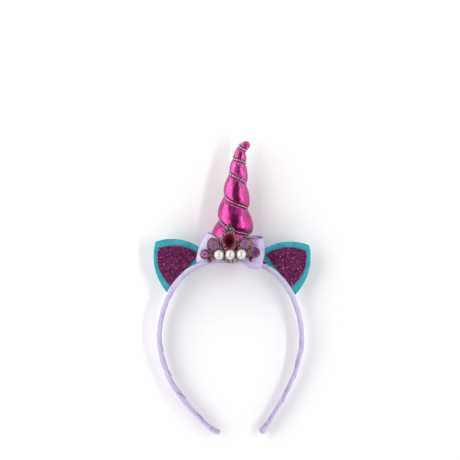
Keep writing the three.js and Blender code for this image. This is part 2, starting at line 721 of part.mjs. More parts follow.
// Stands an outline of the ear on the hoop, on the chord between its two seats.
function standOnHoop(points, side) {
  const seats = side < 0 ? EAR_SEATS.left : EAR_SEATS.right;
  const outside = (distance) => {
    const at = hoopAt(HOOP_CROWN_SHARE + (side * distance) / hoopLength);
    return at.middle.clone().addScaledVector(at.out, BAND_THICKNESS / 2);
  };
  const foot = outside(seats.foot);
  const along = outside(seats.upper).sub(foot).normalize();
  const out = new THREE.Vector3(along.y * side, -along.x * side, 0);
  return points.map((p) => {
    const point = foot.clone().addScaledVector(along, p.x + EAR_BASE / 2).addScaledVector(out, p.y);
    return new THREE.Vector2(point.x, point.y);
  });
}

function makeEar(side, trim) {
  const half = EAR_BASE / 2;
  const outline = leafOutline(-half, half, 0, { x: EAR_TIP_SHIFT, y: EAR_HEIGHT }, EAR_BULGE);
  const sunk = outline.map((p) => new THREE.Vector2(p.x, p.y < 1e-6 ? -EAR_TRIM : p.y));
  return plate(standOnHoop(sunk, side), -EAR_FELT / 2, EAR_FELT / 2).subtract(trim);
}

// The glitter sheet lies on the front of the felt.
const glitterSheet = (outline, trim) =>
  plate(outline, EAR_FELT / 2 + GLUE_GAP, EAR_FELT / 2 + GLUE_GAP + PANEL_THICKNESS).subtract(trim);

function makeEarPanel(side, trim) {
  const { from, to, seam, tip, bulge } = side < 0 ? PANELS.left : PANELS.right;
  return glitterSheet(standOnHoop(leafOutline(from, to, seam, tip, bulge), side), trim);
}

function piece(name, solid, colour, roughness, metalness) {
  const material = new THREE.MeshStandardMaterial({ color: colour, roughness, metalness });
  const mesh = new THREE.Mesh(geometryOf(solid), material);
  mesh.name = name;
  return mesh;
}

// How far a solid reaches towards the viewer.
const frontOf = (solid) => solid.boundingBox().max[2];

const worn = new THREE.Group();
const trim = makeBand(GLUE_GAP);
worn.add(piece('band', makeBand(), 0xc9bfe6, 0.45, 0));
const horn = hornBody().subtract(trim);
worn.add(piece('horn', horn, 0xd0208c, 0.25, 0.8));
worn.add(piece('horn_thread', makeHornThread(), 0xcfcfd4, 0.3, 0.9));
worn.add(piece('ear_left', makeEar(-1, trim), 0x35b5c0, 0.95, 0));
worn.add(piece('ear_right', makeEar(1, trim), 0x35b5c0, 0.95, 0));
worn.add(piece('ear_panel_left', makeEarPanel(-1, trim), 0x7c1a5a, 0.4, 0.4));
worn.add(piece('ear_panel_right', makeEarPanel(1, trim), 0x7c1a5a, 0.4, 0.4));
const scrap = SCRAP.map(([x, y]) => new THREE.Vector2(x, y));
worn.add(piece('glitter_scrap', glitterSheet(scrap, trim), 0x7c1a5a, 0.4, 0.4));

// The knot lies on the horn's front, and the tiara on the knot's.
const bowMiddleZ = frontOf(horn) + GLUE_GAP + KNOT_WALL + knotInside.deep;
const bow = makeBow(bowMiddleZ);
const knot = makeBowKnot(bowMiddleZ);
worn.add(piece('bow', bow, 0xc9bfe6, 0.45, 0));
worn.add(piece('bow_knot', knot, 0xa8a2ac, 0.4, 0.3));
const tiara = new THREE.Group();
tiara.position.set(TIARA_AT.x, TIARA_AT.y, Math.max(frontOf(bow), frontOf(knot)) + GLUE_GAP);
tiara.rotation.z = THREE.MathUtils.degToRad(TIARA_TILT);
tiara.add(piece('tiara', makeTiara(), 0xa8808c, 0.35, 0.7));
for (const [name, stone] of Object.entries(TIARA_STONES)) {
  tiara.add(piece(name, makeStone(stone), stone.colour, 0.08, 0));
}
for (const [name, x] of Object.entries(pearlPlaces())) {
  tiara.add(piece(name, pearlSolid(x, PEARL / 2), 0xf3efe6, 0.2, 0));
}
worn.add(tiara);

// Lying on its back, the headband rests on the back of the horn's foot and on the ends of the hoop, so it is
// tipped by the angle at which those two lie level.
function lyingAngle(group) {
  group.updateMatrixWorld(true);
  const lowest = (angle, names) => {
    let low = Infinity;
    for (const name of names) {
      const points = group.getObjectByName(name).geometry.getAttribute('position');
      for (let i = 0; i < points.count; i += 1) {
        low = Math.min(low, points.getY(i) * Math.sin(angle) + points.getZ(i) * Math.cos(angle));
      }
    }
    return low;
  };
  let flat = 0;
  let steep = 0.3;
  for (let i = 0; i < 30; i += 1) {
    const angle = (flat + steep) / 2;
    if (lowest(angle, ['horn']) < lowest(angle, ['band'])) flat = angle;
    else steep = angle;
  }
  return (flat + steep) / 2;
}

worn.rotation.x = lyingAngle(worn);
const headband = new THREE.Group();
headband.add(worn);
headband.updateMatrixWorld(true);
const reach = new THREE.Box3().setFromObject(headband, true);
const middle = reach.getCenter(new THREE.Vector3());
worn.position.set(-middle.x, -middle.y, -reach.min.z);

export default headband;
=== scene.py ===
# %% [markdown]
# # A child's headband with a horn, ears, a bow and a tiara
#
# The real thing is put together by hand. A springy plastic strip is wound in satin ribbon. A stuffed cone of
# foil cloth, pinched by a silver thread, stands on it between two felt ears. A ribbon bow and a small cast
# tiara hide the cone's foot. It lies on its back here, and the camera looks straight down on it.
#
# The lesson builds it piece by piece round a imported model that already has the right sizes. Each cell adds a
# finish or a piece. Shapes start from a bmesh operator and are then pushed into place by a short formula,
# because ribbon, cloth and thread follow curves that are easier to describe than to pull by hand.

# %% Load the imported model
import math
import random

import bmesh
import bpy
import numpy as np
from mathutils import Matrix, Vector, noise


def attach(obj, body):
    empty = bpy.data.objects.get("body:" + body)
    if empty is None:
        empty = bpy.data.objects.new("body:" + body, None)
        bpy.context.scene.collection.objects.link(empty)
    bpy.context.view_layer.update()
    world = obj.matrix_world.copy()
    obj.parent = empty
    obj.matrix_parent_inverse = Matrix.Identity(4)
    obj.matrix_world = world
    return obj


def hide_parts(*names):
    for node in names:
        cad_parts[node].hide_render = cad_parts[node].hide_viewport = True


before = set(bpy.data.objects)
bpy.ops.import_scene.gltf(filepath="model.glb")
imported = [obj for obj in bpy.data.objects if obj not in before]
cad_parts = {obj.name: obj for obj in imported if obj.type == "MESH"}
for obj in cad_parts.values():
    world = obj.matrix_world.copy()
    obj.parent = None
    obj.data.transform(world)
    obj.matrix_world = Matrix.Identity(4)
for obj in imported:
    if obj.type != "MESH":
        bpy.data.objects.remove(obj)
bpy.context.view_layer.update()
print("nodes:", ", ".join(sorted(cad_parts)))

# %% [markdown]
# ## Working in the wearer's frame
#
# The pieces are easier to describe as they are worn: x to the wearer's left, y up, z towards the viewer, in
# millimetres from a point just above the hoop. The headband lies tipped by a few degrees, on the horn's foot
# and the hoop's two ends, so one matrix carries every finished shape to where the model lies.

# %% From the wearer's frame to the model's
MM = 0.001
LYING_TILT = math.radians(3.123)
WORN_ORIGIN = Vector((-1.1825, 28.6025, 14.2582))
to_model = Matrix.Scale(MM, 4) @ Matrix.Translation(WORN_ORIGIN) @ Matrix.Rotation(LYING_TILT, 4, "X")


def mix(a, b, t):
    return a + (b - a) * t


def ease(low, high, value):
    """A smooth step from 0 at low to 1 at high."""
    t = min(max((value - low) / (high - low), 0.0), 1.0)
    return t * t * (3 - 2 * t)


def ripple(x, y, z, seed):
    """Smooth noise between about -1 and 1."""
    return noise.noise(Vector((x + 31.7 * seed, y - 12.3 * seed, z)))


print("lying tilt in degrees:", round(math.degrees(LYING_TILT), 2))

# %% [markdown]
# ## Lines through a few points
#
# The hoop and the horn's axis are smooth lines through a handful of chosen points. A Catmull-Rom line passes
# through every point, and with centripetal spacing it doesn't overshoot where points lie close together.
# Blender's own curves could do it too, but a plain function can be asked for the point at any distance.


# %% Smooth lines
def catmull_rom(points, steps, closed=False, spacing=0.5):
    """Samples a Catmull-Rom line. spacing is 0.5 for a centripetal line and 0 for an even one."""
    points = np.asarray(points, float)
    count = len(points)
    samples = []
    for i in range(count if closed else count - 1):
        b, c = points[i], points[(i + 1) % count]
        mirrored = spacing > 0
        a = points[i - 1] if closed or i > 0 else (2 * b - c if mirrored else b)
        d = points[(i + 2) % count] if closed or i + 2 < count else (2 * c - b if mirrored else c)
        gaps = ((a, b), (b, c), (c, d))
        before, middle, after = (max(np.linalg.norm(q - p), 1e-9) ** spacing for p, q in gaps)
        start = ((b - a) / before - (c - a) / (before + middle) + (c - b) / middle) * middle
        end = ((c - b) / middle - (d - b) / (middle + after) + (d - c) / after) * middle
        t = np.linspace(0, 1, steps, endpoint=False)[:, None]
        samples.append(
            b + start * t + (3 * (c - b) - 2 * start - end) * t**2 + (2 * (b - c) + start + end) * t**3
        )
    samples.append((points[0] if closed else points[-1])[None])
    return np.concatenate(samples)


class Line:
    """A smooth line that is read by the distance along it, in millimetres."""

    def __init__(self, samples):
        self.samples = samples
        steps = np.linalg.norm(np.diff(samples, axis=0), axis=1)
        self.distances = np.concatenate([[0], np.cumsum(steps)])
        self.length = self.distances[-1]

    def at(self, distance):
        return Vector([float(np.interp(distance, self.distances, column)) for column in self.samples.T])

    def ahead(self, distance, reach=0.3):
        low, high = max(distance - reach, 0), min(distance + reach, self.length)
        return (self.at(high) - self.at(low)).normalized()


# %% [markdown]
# ## From a grid to a piece
#
# Most pieces start as a flat grid. The grid brings its own UV map, so a weave can follow the cloth, and each
# of its points is moved to the place that a formula gives. Edges that meet are merged afterwards, and the
# normals are turned outwards once the shape is closed.


# %% Grids and finished pieces
def shaped_grid(columns, rows, place, tone=None):
    """A grid of faces whose points go to place(u, v), with u across the columns and v along the rows.

    tone(u, v) is a number that a material can read, such as how deep in a fold a point is; the satin pieces
    carry painted light and shade in it."""
    bm = bmesh.new()
    bm.loops.layers.uv.new("UVMap")
    bmesh.ops.create_grid(bm, x_segments=columns, y_segments=rows, size=0.5, calc_uvs=True)
    tones = bm.verts.layers.float.new("tone")
    for vert in bm.verts:
        u, v = vert.co.x + 0.5, vert.co.y + 0.5
        vert.co = place(u, v)
        vert[tones] = tone(u, v) if tone else 0.5
    bmesh.ops.remove_doubles(bm, verts=bm.verts, dist=1e-4)
    bmesh.ops.recalc_face_normals(bm, faces=bm.faces)
    return bm


def fill_ends(bm):
    bmesh.ops.holes_fill(bm, edges=[e for e in bm.edges if e.is_boundary], sides=0)


def add_object(name, data):
    made = bpy.data.objects.new(name, data)
    bpy.context.scene.collection.objects.link(made)
    return made


def new_piece(name, bm, material, replaced=(), smooth=True, worn=True):
    """Makes the object of a bmesh, carries it to the model's frame and lets it ride on the body."""
    if worn:
        bmesh.ops.transform(bm, matrix=to_model, verts=bm.verts)
    mesh = bpy.data.meshes.new(name)
    bm.to_mesh(mesh)
    bm.free()
    mesh.shade_smooth() if smooth else mesh.shade_flat()
    mesh.materials.append(material)
    piece = add_object(name, mesh)
    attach(piece, "root")
    if replaced:
        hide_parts(*replaced)
    print(f"{name}: {len(mesh.polygons)} faces")
    return piece


def sprinkle(name, make, places, material, smooth=False):
    """One piece of many small shapes. Each gets a random number for its material, called chance."""
    bm = bmesh.new()
    chance = bm.verts.layers.float.new("chance")
    for place, value in places:
        for vert in make(bm, to_model @ place)["verts"]:
            vert[chance] = value
    return new_piece(name, bm, material, smooth=smooth, worn=False)


# %% [markdown]
# ## Shader maths as Python
#
# A material's patterns are sums and products of textures. Written as nodes they are long, so a small class
# wraps a socket and lets Python's own operators add the Math nodes. Every other kind of node comes from one
# method that sets the node up and links it.


# %% Sockets with operators
def math_node(operation):
    return lambda wire, other: wire.paint.node("Math", {0: wire, 1: other}, operation=operation)


class Wire:
    """One output socket of a material."""

    def __init__(self, paint, socket):
        self.paint = paint
        self.socket = socket

    __add__ = __radd__ = math_node("ADD")
    __sub__ = math_node("SUBTRACT")
    __mul__ = __rmul__ = math_node("MULTIPLY")
    __pow__ = math_node("POWER")


class Paint:
    """A material that is being mixed. Its shader is a Principled BSDF."""

    def __init__(self, name, **fixed):
        self.material = bpy.data.materials.new(name)
        self.material.use_nodes = True
        self.tree = self.material.node_tree
        self.shader = self.tree.nodes["Principled BSDF"]
        for socket, value in fixed.items():
            self.shader.inputs[socket.replace("_", " ")].default_value = value

    def node(self, kind, values=None, output=0, stops=(), **settings):
        made = self.tree.nodes.new("ShaderNode" + kind)
        for key, value in settings.items():
            setattr(made, key, value)
        for _ in stops[2:]:
            made.color_ramp.elements.new(0.5)
        for i, (where, colour) in enumerate(stops):
            made.color_ramp.elements[i].position = where
            made.color_ramp.elements[i].color = (*colour, 1.0)
        for key, value in (values or {}).items():
            if isinstance(value, Wire):
                self.tree.links.new(value.socket, made.inputs[key])
            else:
                made.inputs[key].default_value = value
        return Wire(self, made.outputs[output])

    def place(self, source="Object"):
        return self.node("TexCoord", output=source)

    def read(self, name):
        """A number that each point of the mesh carries."""
        return self.node("Attribute", attribute_name=name, output=2)

    def stretched(self, source, scale, turn=(0, 0, 0)):
        return self.node("Mapping", {"Vector": source, "Scale": scale, "Rotation": turn})

    def noise(self, where, scale, detail=2.0, roughness=0.5):
        values = {"Vector": where, "Scale": scale, "Detail": detail, "Roughness": roughness}
        return self.node("TexNoise", values)

    def grains(self, where, scale):
        """Cells with a random brightness each."""
        cells = self.node("TexVoronoi", {"Vector": where, "Scale": scale}, output=1)
        return self.node("SeparateColor", {0: cells})

    def from_range(self, value, low, high, at_low=0.0, at_high=1.0):
        return self.node("MapRange", {0: value, 1: low, 2: high, 3: at_low, 4: at_high})

    def seen_from(self, centre, place):
        return self.node("VectorMath", {0: place, 1: tuple(-c for c in centre)}, operation="ADD")

    def length(self, vector):
        return self.node("VectorMath", {0: vector}, output=1, operation="LENGTH")

    def ramp(self, factor, *stops):
        return self.node("ValToRGB", {0: factor}, stops=stops)

    def colours(self, factor, a, b):
        a, b = (c if isinstance(c, Wire) else (*c, 1.0) for c in (a, b))
        return self.node("Mix", {0: factor, 6: a, 7: b}, output=2, data_type="RGBA")

    def bump(self, height, distance, strength=1.0):
        return self.node("Bump", {"Height": height, "Distance": distance, "Strength": strength})

    def feed(self, **wires):
        for socket, wire in wires.items():
            self.tree.links.new(wire.socket, self.shader.inputs[socket.replace("_", " ")])
        return self.material


def shade(red, green, blue):
    """A colour read from a photo, 0 to 255, as the linear colour that shaders work in."""
    return tuple(((c / 255 + 0.055) / 1.055) ** 2.4 if c > 10 else c / 255 / 12.92 for c in (red, green, blue))


# %% [markdown]
# ## Camera, floor and light
#
# A product photo like this is taken from above with a long lens, on a white table between two softboxes. The
# ceiling stays dark, and that is what puts the dark stripe down the middle of the shiny horn. A narrow strip
# light adds the thin streak on the horn's right. The camera is placed first.

# %% Camera
PHOTO_PIXELS = 460
MM_PER_PIXEL = 0.8844
PHOTO_CENTRE = Vector((-1.62, 51.6, 0.0)) * MM
LENS = 180
FRAME_WIDTH = PHOTO_PIXELS * MM_PER_PIXEL * MM
FOCUS_HEIGHT = 15 * MM

camera_data = bpy.data.cameras.new("camera")
camera_data.lens = LENS
camera_data.sensor_width = 36
camera = add_object("camera", camera_data)
camera_height = FOCUS_HEIGHT + FRAME_WIDTH * LENS / camera_data.sensor_width
camera.location = PHOTO_CENTRE + Vector((0, 0, camera_height))
bpy.context.scene.camera = camera
print("camera height in m:", round(camera_height, 3))

# %% Floor
FLOOR_SIZE = 6.0
FLOOR_DROP = 0.0002
floor_paint = Paint("table_white", Roughness=0.8, Specular_IOR_Level=0.2)
mottle = floor_paint.noise(floor_paint.place(), 3.0)
floor_material = floor_paint.feed(Base_Color=floor_paint.ramp(mottle, (0.3, (0.92,) * 3), (0.7, (0.94,) * 3)))
floor_bm = bmesh.new()
bmesh.ops.create_grid(floor_bm, x_segments=1, y_segments=1, size=FLOOR_SIZE / 2)
bmesh.ops.translate(floor_bm, verts=floor_bm.verts, vec=(0, 0, -FLOOR_DROP))
floor_mesh = bpy.data.meshes.new("floor")
floor_bm.to_mesh(floor_mesh)
floor_bm.free()
floor_mesh.materials.append(floor_material)
floor = add_object("floor", floor_mesh)

# %% Softboxes and a dark ceiling
# Each light's place, its size along the headband and across it, its brightness and its colour
LIGHTS = {
    "softbox_left": ((-0.74, 0.17, 0.60), (1.4, 0.90), 2.2, (1.0, 0.985, 0.99)),
    "softbox_right": ((0.90, 0.06, 0.42), (1.5, 0.6), 0.6, (1.0, 0.985, 0.99)),
    "strip_right": ((0.60, 0.0, 0.74), (0.9, 0.028), 38.0, (1.0, 1.0, 1.0)),
    "fill_below": ((0.0, -1.05, 0.75), (1.2, 0.5), 1.0, (0.98, 0.99, 1.0)),
    "fill_above": ((0.1, 1.15, 0.7), (1.2, 0.5), 1.3, (0.98, 0.99, 1.0)),
}
AIM = Vector((0, 0.05, 0.02))
for name, (place, size, brightness, colour) in LIGHTS.items():
    data = bpy.data.lights.new(name, "AREA")
    data.shape = "RECTANGLE"
    data.size, data.size_y = size
    data.energy = math.pi * size[0] * size[1] * brightness
    data.color = colour
    lamp = add_object(name, data)
    lamp.location = place
    lamp.rotation_euler = (AIM - lamp.location).to_track_quat("-Z", "Y").to_euler()

# The walls are pale and the ceiling is dark
world = bpy.data.worlds.new("studio")
bpy.context.scene.world = world
world.use_nodes = True
room = world.node_tree
direction = room.nodes.new("ShaderNodeTexCoord")
height = room.nodes.new("ShaderNodeSeparateXYZ")
walls = room.nodes.new("ShaderNodeValToRGB")
room.links.new(direction.outputs["Generated"], height.inputs[0])
room.links.new(height.outputs["Z"], walls.inputs[0])
room.links.new(walls.outputs[0], room.nodes["Background"].inputs["Color"])
walls.color_ramp.elements[0].position = 0.35
walls.color_ramp.elements[0].color = (1.0, 1.0, 1.03, 1.0)
walls.color_ramp.elements[1].position = 0.8
walls.color_ramp.elements[1].color = (0.055, 0.045, 0.045, 1.0)
room.nodes["Background"].inputs["Strength"].default_value = 1.0
bpy.context.scene.view_settings.view_transform = "Standard"
print("lights:", ", ".join(LIGHTS))

# %% [markdown]
# ## The hoop
#
# The hoop is a flat springy strip, wound from end to end in satin ribbon. The ribbon climbs round it like the
# thread of a screw, so each turn ends in a low slanted step, and at the two ends it is folded over and glued.
# The sweep is one long grid: u goes round the section and v along the line. The steps are part of its shape,
# because they show in the hoop's outline. A bump map would leave that outline smooth.

# %% The hoop's line
HOOP_SPAN = 125.6
HOOP_HEIGHT = 153.2
HOOP_TOP = -2.3
BAND_WIDTH = 10.0
BAND_THICKNESS = 3.9
SHOULDER = [(0.37, 0.014), (0.655, 0.085), (0.885, 0.224), (1.0, 0.437)]
LEG_LEFT = [(0.897, 0.642), (0.704, 0.781), (0.423, 0.919), (0.26, 0.978), (0.15, 1.0)]
LEG_RIGHT = [(0.915, 0.642), (0.761, 0.781), (0.563, 0.919), (0.43, 1.0)]


def hoop_point(across, down, side):
    return (side * across * HOOP_SPAN / 2, HOOP_TOP - BAND_THICKNESS / 2 - down * HOOP_HEIGHT, 0.0)


left_half = [hoop_point(*share, -1) for share in SHOULDER + LEG_LEFT]
right_half = [hoop_point(*share, 1) for share in SHOULDER + LEG_RIGHT]
hoop = Line(catmull_rom([*reversed(left_half), hoop_point(0, 0, 1), *right_half], 80))
crown_at = float(np.interp(0.0, hoop.samples[:, 0], hoop.distances))
print("hoop length in mm:", round(hoop.length, 1), "crown at", round(crown_at, 1))


def hoop_frame(distance):
    """The hoop's middle and the direction out of it."""
    along = hoop.ahead(distance)
    return hoop.at(distance), Vector((-along.y, along.x, 0.0))


# %% Satin ribbon
def satin(name, light, dark, weave, streaks, roughness=0.36, dusted=None):
    """Satin: fine threads that lie one way, long soft streaks, and painted light and shade from the tone
    attribute, with painted shade in creases where tone is low.

    dusted is a place, in mm, on which some glitter has rubbed off."""
    paint = Paint(name, Sheen_Weight=0.3, Sheen_Roughness=0.35, Specular_IOR_Level=0.5)
    uv = paint.place("UV")
    threads = paint.noise(paint.stretched(uv, weave), 1.0, 1.0)
    soft = paint.noise(paint.stretched(uv, streaks), 1.0, 2.0)
    fine = paint.noise(paint.place(), 2400.0, 1.0)
    # The tone attribute carries painted light and shade: low in creases and shaded places, high on lit folds
    # and sides.
    crease = paint.read("tone")
    tone = crease * 0.8 + soft * 0.5 + threads * 0.25 - 0.28
    height = threads * 0.5 + soft * 0.5 + fine * 0.25
    # The darkest colour is painted shade for the deepest creases.
    painted_deepest_shade = tuple(c * 0.62 for c in dark)
    colour = paint.ramp(tone, (0.12, shade(*painted_deepest_shade)), (0.34, shade(*dark)), (0.68, shade(*light)))
    if dusted:
        away = paint.seen_from([c * MM for c in dusted], paint.place())
        near = paint.from_range(paint.length(away), 6.5 * MM, 2.0 * MM)
        specks = paint.from_range(paint.noise(paint.place(), 1300.0, 1.0), 0.38, 0.62)
        colour = paint.colours(near * (specks * 0.6 + 0.25), colour, shade(168, 84, 160))
    return paint.feed(
        Base_Color=colour,
        Roughness=roughness + soft * 0.16,
        Normal=paint.bump(height, 0.0002, 0.35),
    )


band_material = satin(
    "wound_satin",
    light=(215, 208, 230),
    dark=(180, 169, 205),
    weave=(5.0, 1500.0, 1.0),
    streaks=(3.0, 30.0, 1.0),
)

# %% The wound band
WRAP_PITCH = 24.0
WRAP_STEP = 0.55
WRAP_FIRST = {"left": 10.0, "right": 7.0}
FOLD_LENGTH = 9.0
END_ROUND = 2.4
END_SWELL = {"left": 0.1, "right": 0.45}
# How far the ribbon stands out along a leg, and the distances from the leg's end between which that begins
LEG_MORE = {"left": (1.0, 30.0, 45.0), "right": (0.8, 60.0, 85.0)}
BAND_ROWS = 760
BAND_COLUMNS = 40
MORE_END_ROWS = 0.006
BAND_CORNERS = 7


def squarish(turn, power):
    """A point of a square with rounded corners at a share of the way round. A higher power rounds them less."""
    c, s = math.cos(turn * math.tau), math.sin(turn * math.tau)
    grow = 1 / (abs(c) ** power + abs(s) ** power) ** (1 / power)
    return c * grow, s * grow


def leg_more(distance):
    """The ribbon is wound more loosely along the legs, so it stands out a little from the strip there."""
    side = "left" if distance < crown_at else "right"
    more, end_low, end_high = LEG_MORE[side]
    from_end = min(distance, hoop.length - distance)
    return more * ease(25.0, 40.0, abs(distance - crown_at)) * ease(end_low, end_high, from_end)


def end_swell(distance, swell):
    fold = max(0.0, 1 - distance / FOLD_LENGTH)
    rounding = math.sqrt(max(0.0, 1 - max(0.0, 1 - distance / END_ROUND) ** 2))
    return (1 + swell * fold * fold * (3 - 2 * fold)) * max(rounding, 0.02)


def on_band(u, v):
    """How far along the hoop and from its nearer end a grid point is, on which side, and where in its turn."""
    # More rows near the two ends, where the band is rounded off
    distance = hoop.length * (v - MORE_END_ROWS * math.sin(math.tau * v))
    from_end = min(distance, hoop.length - distance)
    side = "left" if v < 0.5 else "right"
    winding = (from_end - WRAP_FIRST[side]) / WRAP_PITCH + (u if v < 0.5 else 1 - u)
    return distance, from_end, side, winding % 1.0


def band_place(u, v):
    distance, from_end, side, along_turn = on_band(u, v)
    swell = end_swell(from_end, END_SWELL[side])
    middle, out = hoop_frame(distance)
    # Each turn of the ribbon rises to its edge and then drops to the turn below, less so towards the crown
    drop = ease(0.0, 0.016, along_turn) * (1 - along_turn)
    lap = WRAP_STEP * (drop - 0.8) * ease(FOLD_LENGTH, FOLD_LENGTH + 1.5, from_end)
    lap *= mix(0.4, 1.0, ease(110, 85, from_end))
    lap -= 0.16 * ease(1.0, 0.0, abs(from_end - FOLD_LENGTH) / 0.7)
    # Small tucks where the ribbon is pulled tight across the edges
    c, s = math.cos(math.tau * u), math.sin(math.tau * u)
    tucks = ripple(distance * 0.3, c * 1.4, s * 1.4, 2) * 0.18 + ripple(distance * 1.2, c * 3, s * 3, 5) * 0.06
    lap += tucks * ease(0.0, 2.0, from_end)
    # The ribbon lies flat under the bow and the horn's foot
    hidden = ease(31.0, 24.0, abs(distance - crown_at))
    lap = mix(lap, min(lap, -0.12), hidden)
    thick, wide = BAND_THICKNESS / 2 * swell, BAND_WIDTH / 2 * (1 + (swell - 1) * 0.4)
    outwards, forwards = squarish(u, BAND_CORNERS)
    outwards *= thick + lap * min(swell, 1)
    point = middle + out * (outwards + leg_more(distance) * ease(-0.5, 1.0, outwards))
    point.z = forwards * (wide + lap * 0.6 * min(swell, 1))
    return point


def band_light_and_shade(u, v):
    """Painted shade at the edge of each turn and on the inside of the hoop, painted light on its outside, and a
    little more painted shade on the right side.
    """
    _, from_end, side, along_turn = on_band(u, v)
    # Painted shadow line where each turn drops to the next, and at the fold near each end.
    edge = ease(0.045, 0.0, min(along_turn, 1 - along_turn)) * ease(FOLD_LENGTH, FOLD_LENGTH + 1, from_end)
    edge = max(edge, ease(0.9, 0.0, abs(from_end - FOLD_LENGTH)))
    fade = mix(0.3, 1.0, ease(110, 85, from_end))
    shadow = 0.0 if side == "left" else 0.04
    return 0.48 + 0.24 * math.cos(math.tau * u) - (0.3 * edge + 0.08 * (1 - along_turn)) * fade - shadow


band_bm = shaped_grid(BAND_COLUMNS, BAND_ROWS, band_place, band_light_and_shade)
fill_ends(band_bm)
bmesh.ops.recalc_face_normals(band_bm, faces=band_bm.faces)
new_piece("wound_band", band_bm, band_material, ["band"])

# %% [markdown]
# ## The horn
#
# The horn is a bag of shiny foil cloth, filled tight with wadding. A thread wound down it pulls in a groove,
# and between two turns the cloth swells into a fat roll. It could be inflated by a cloth simulation, but the
# groove has to lie exactly where the thread is. So a grid follows the thread: one direction goes round with
# the winding and the other goes from one pass of the thread up to the next, which puts a row of points right
# in the groove. Small gathers run out of the groove, as in any cloth that is drawn in by a thread.

# %% The horn's axis and width
HORN_HEIGHT = 101.5
HORN_LEAN = 17.3
HORN_HALF = 20.4
HORN_FLATTEN = 0.76
HORN_FOOT = HOOP_TOP - 1.0
HORN_SHAPE = [
    (0, 0, 1), (0.122, 0.052, 0.99), (0.24, 0.11, 0.936), (0.426, 0.208, 0.725), (0.603, 0.277, 0.569),
    (0.761, 0.37, 0.431), (0.9, 0.462, 0.299), (0.95, 0.532, 0.235), (0.979, 0.63, 0.221),
    (0.995, 0.786, 0.216), (1, 1, 0.211),
]  # fmt: skip
THREAD_TURNS = [
    (-1, -0.211), (0, 0.072), (0.5, 0.199), (0.75, 0.246), (1, 0.336), (1.5, 0.419), (1.75, 0.468), (2, 0.537),
    (2.5, 0.628), (3, 0.728), (3.5, 0.796), (4, 0.849), (4.5, 0.913), (5, 0.94), (6, 1.081),
]  # fmt: skip
axis_points = [(sway * HORN_LEAN, HORN_FOOT + rise * HORN_HEIGHT, 0.0) for rise, sway, _ in HORN_SHAPE]
AXIS_STEPS = 100
axis = Line(catmull_rom(axis_points, AXIS_STEPS))
half_rows = [(axis.distances[i * AXIS_STEPS], row[2] * HORN_HALF) for i, row in enumerate(HORN_SHAPE)]
half_line = catmull_rom([half_rows[0], *half_rows, half_rows[-1]], 60, spacing=0)[60:-60]
turn_line = catmull_rom([THREAD_TURNS[0], *THREAD_TURNS, THREAD_TURNS[-1]], 60, spacing=0)[60:-60]
print("horn's axis in mm:", round(axis.length, 1))


def thread_along(turn):
    """How far along the axis the thread is at a turn."""
    return float(np.interp(turn, turn_line[:, 0], turn_line[:, 1])) * axis.length


def horn_radius(along):
    under = max(0.0, 1 - along / 4)
    over = max(0.0, 1 - (axis.length - along) / 4.6)
    half = float(np.interp(along, half_line[:, 0], half_line[:, 1]))
    return half * (1 - 0.16 * under * under) * math.sqrt(max(0.0, 1 - over * over))


def horn_point(along, turn, share, more=0.0):
    """A point at a share of the horn's radius in the direction of a turn, and a distance more outside it."""
    up = axis.ahead(along, 0.25)
    square = ease(0.82, 0.99, along / axis.length)
    left = Vector((-up.y, up.x * square, 0.0)).normalized()
    radius = horn_radius(along) * share
    angle = turn * math.tau
    point = axis.at(along) + left * ((radius + more) * math.cos(angle))
    point.z -= (radius * HORN_FLATTEN + more) * math.sin(angle)
    return point


def puff(along, between):
    """The share of the radius that is left, 0 to 1 between one pass of the thread and the next."""
    depth = 0.3 + (0.22 - 0.3) * along / axis.length
    return 1 - depth * (1 - math.sin(math.pi * between**0.82) ** 0.5)


# %% Stuffed foil cloth
STEPS_AROUND = 100
STEPS_PER_PUFF = 34
GROOVE_FLAT = 2.3 * 1.1 / 2
first_turn = float(np.interp(0.0, turn_line[:, 1], turn_line[:, 0])) - 1
last_turn = float(np.interp(1.0, turn_line[:, 1], turn_line[:, 0]))
first_step = math.floor(first_turn * STEPS_AROUND)
turn_steps = math.ceil(last_turn * STEPS_AROUND) - first_step
BIG_PUFF = 20.0  # width of a roll, in mm, in which the gathers have their full depth


def horn_place(u, v):
    turn = (first_step + round(u * turn_steps)) / STEPS_AROUND
    passes = [thread_along(min(turn + n, THREAD_TURNS[-1][0])) for n in range(3)]
    low, high = passes[:2]
    step = round(v * (STEPS_PER_PUFF + 2))
    risen = (1 - math.cos(math.pi * (step - 1) / STEPS_PER_PUFF)) / 2
    up = low + GROOVE_FLAT + risen * (high - low - 2 * GROOVE_FLAT)
    up = low if step == 0 else high if step == STEPS_PER_PUFF + 2 else up
    along = min(max(up, 0.0), axis.length)
    under, over = passes[:2] if along < high else passes[1:]
    between = min(max((along - under - GROOVE_FLAT) / (over - under - 2 * GROOVE_FLAT), 0.0), 1.0)
    # Gathers fade out within a few millimetres of the thread
    size = min((over - under) / BIG_PUFF, 1.0)
    to_thread = min(between, 1 - between) * (over - under)
    angle = turn % 1.0 * math.tau
    c, s = math.cos(angle), math.sin(angle)
    coarse = ripple(c * 4.2 + 9 * round(turn), s * 4.2, along * 0.05, 1)
    fine = ripple(c * 10 + 5 * round(turn), s * 10, along * 0.12, 3)
    near = math.exp(-to_thread / (4.2 * size)) * ease(0.0, 0.8, to_thread)
    gathers = (coarse * 0.55 + fine * 0.3) * near * size
    dents = ripple(c * 1.7, s * 1.7, along * 0.16, 7) * 0.28 * size * ease(0.5, 3.0, to_thread)
    at_ends = ease(0.0, 3.0, along) * ease(0.0, 2.5, axis.length - along)
    more = min((gathers + dents) * at_ends, 0.35) - 0.05 * at_ends
    return horn_point(along, turn, puff(along, between), more)


horn_bm = shaped_grid(turn_steps, STEPS_PER_PUFF + 2, horn_place)

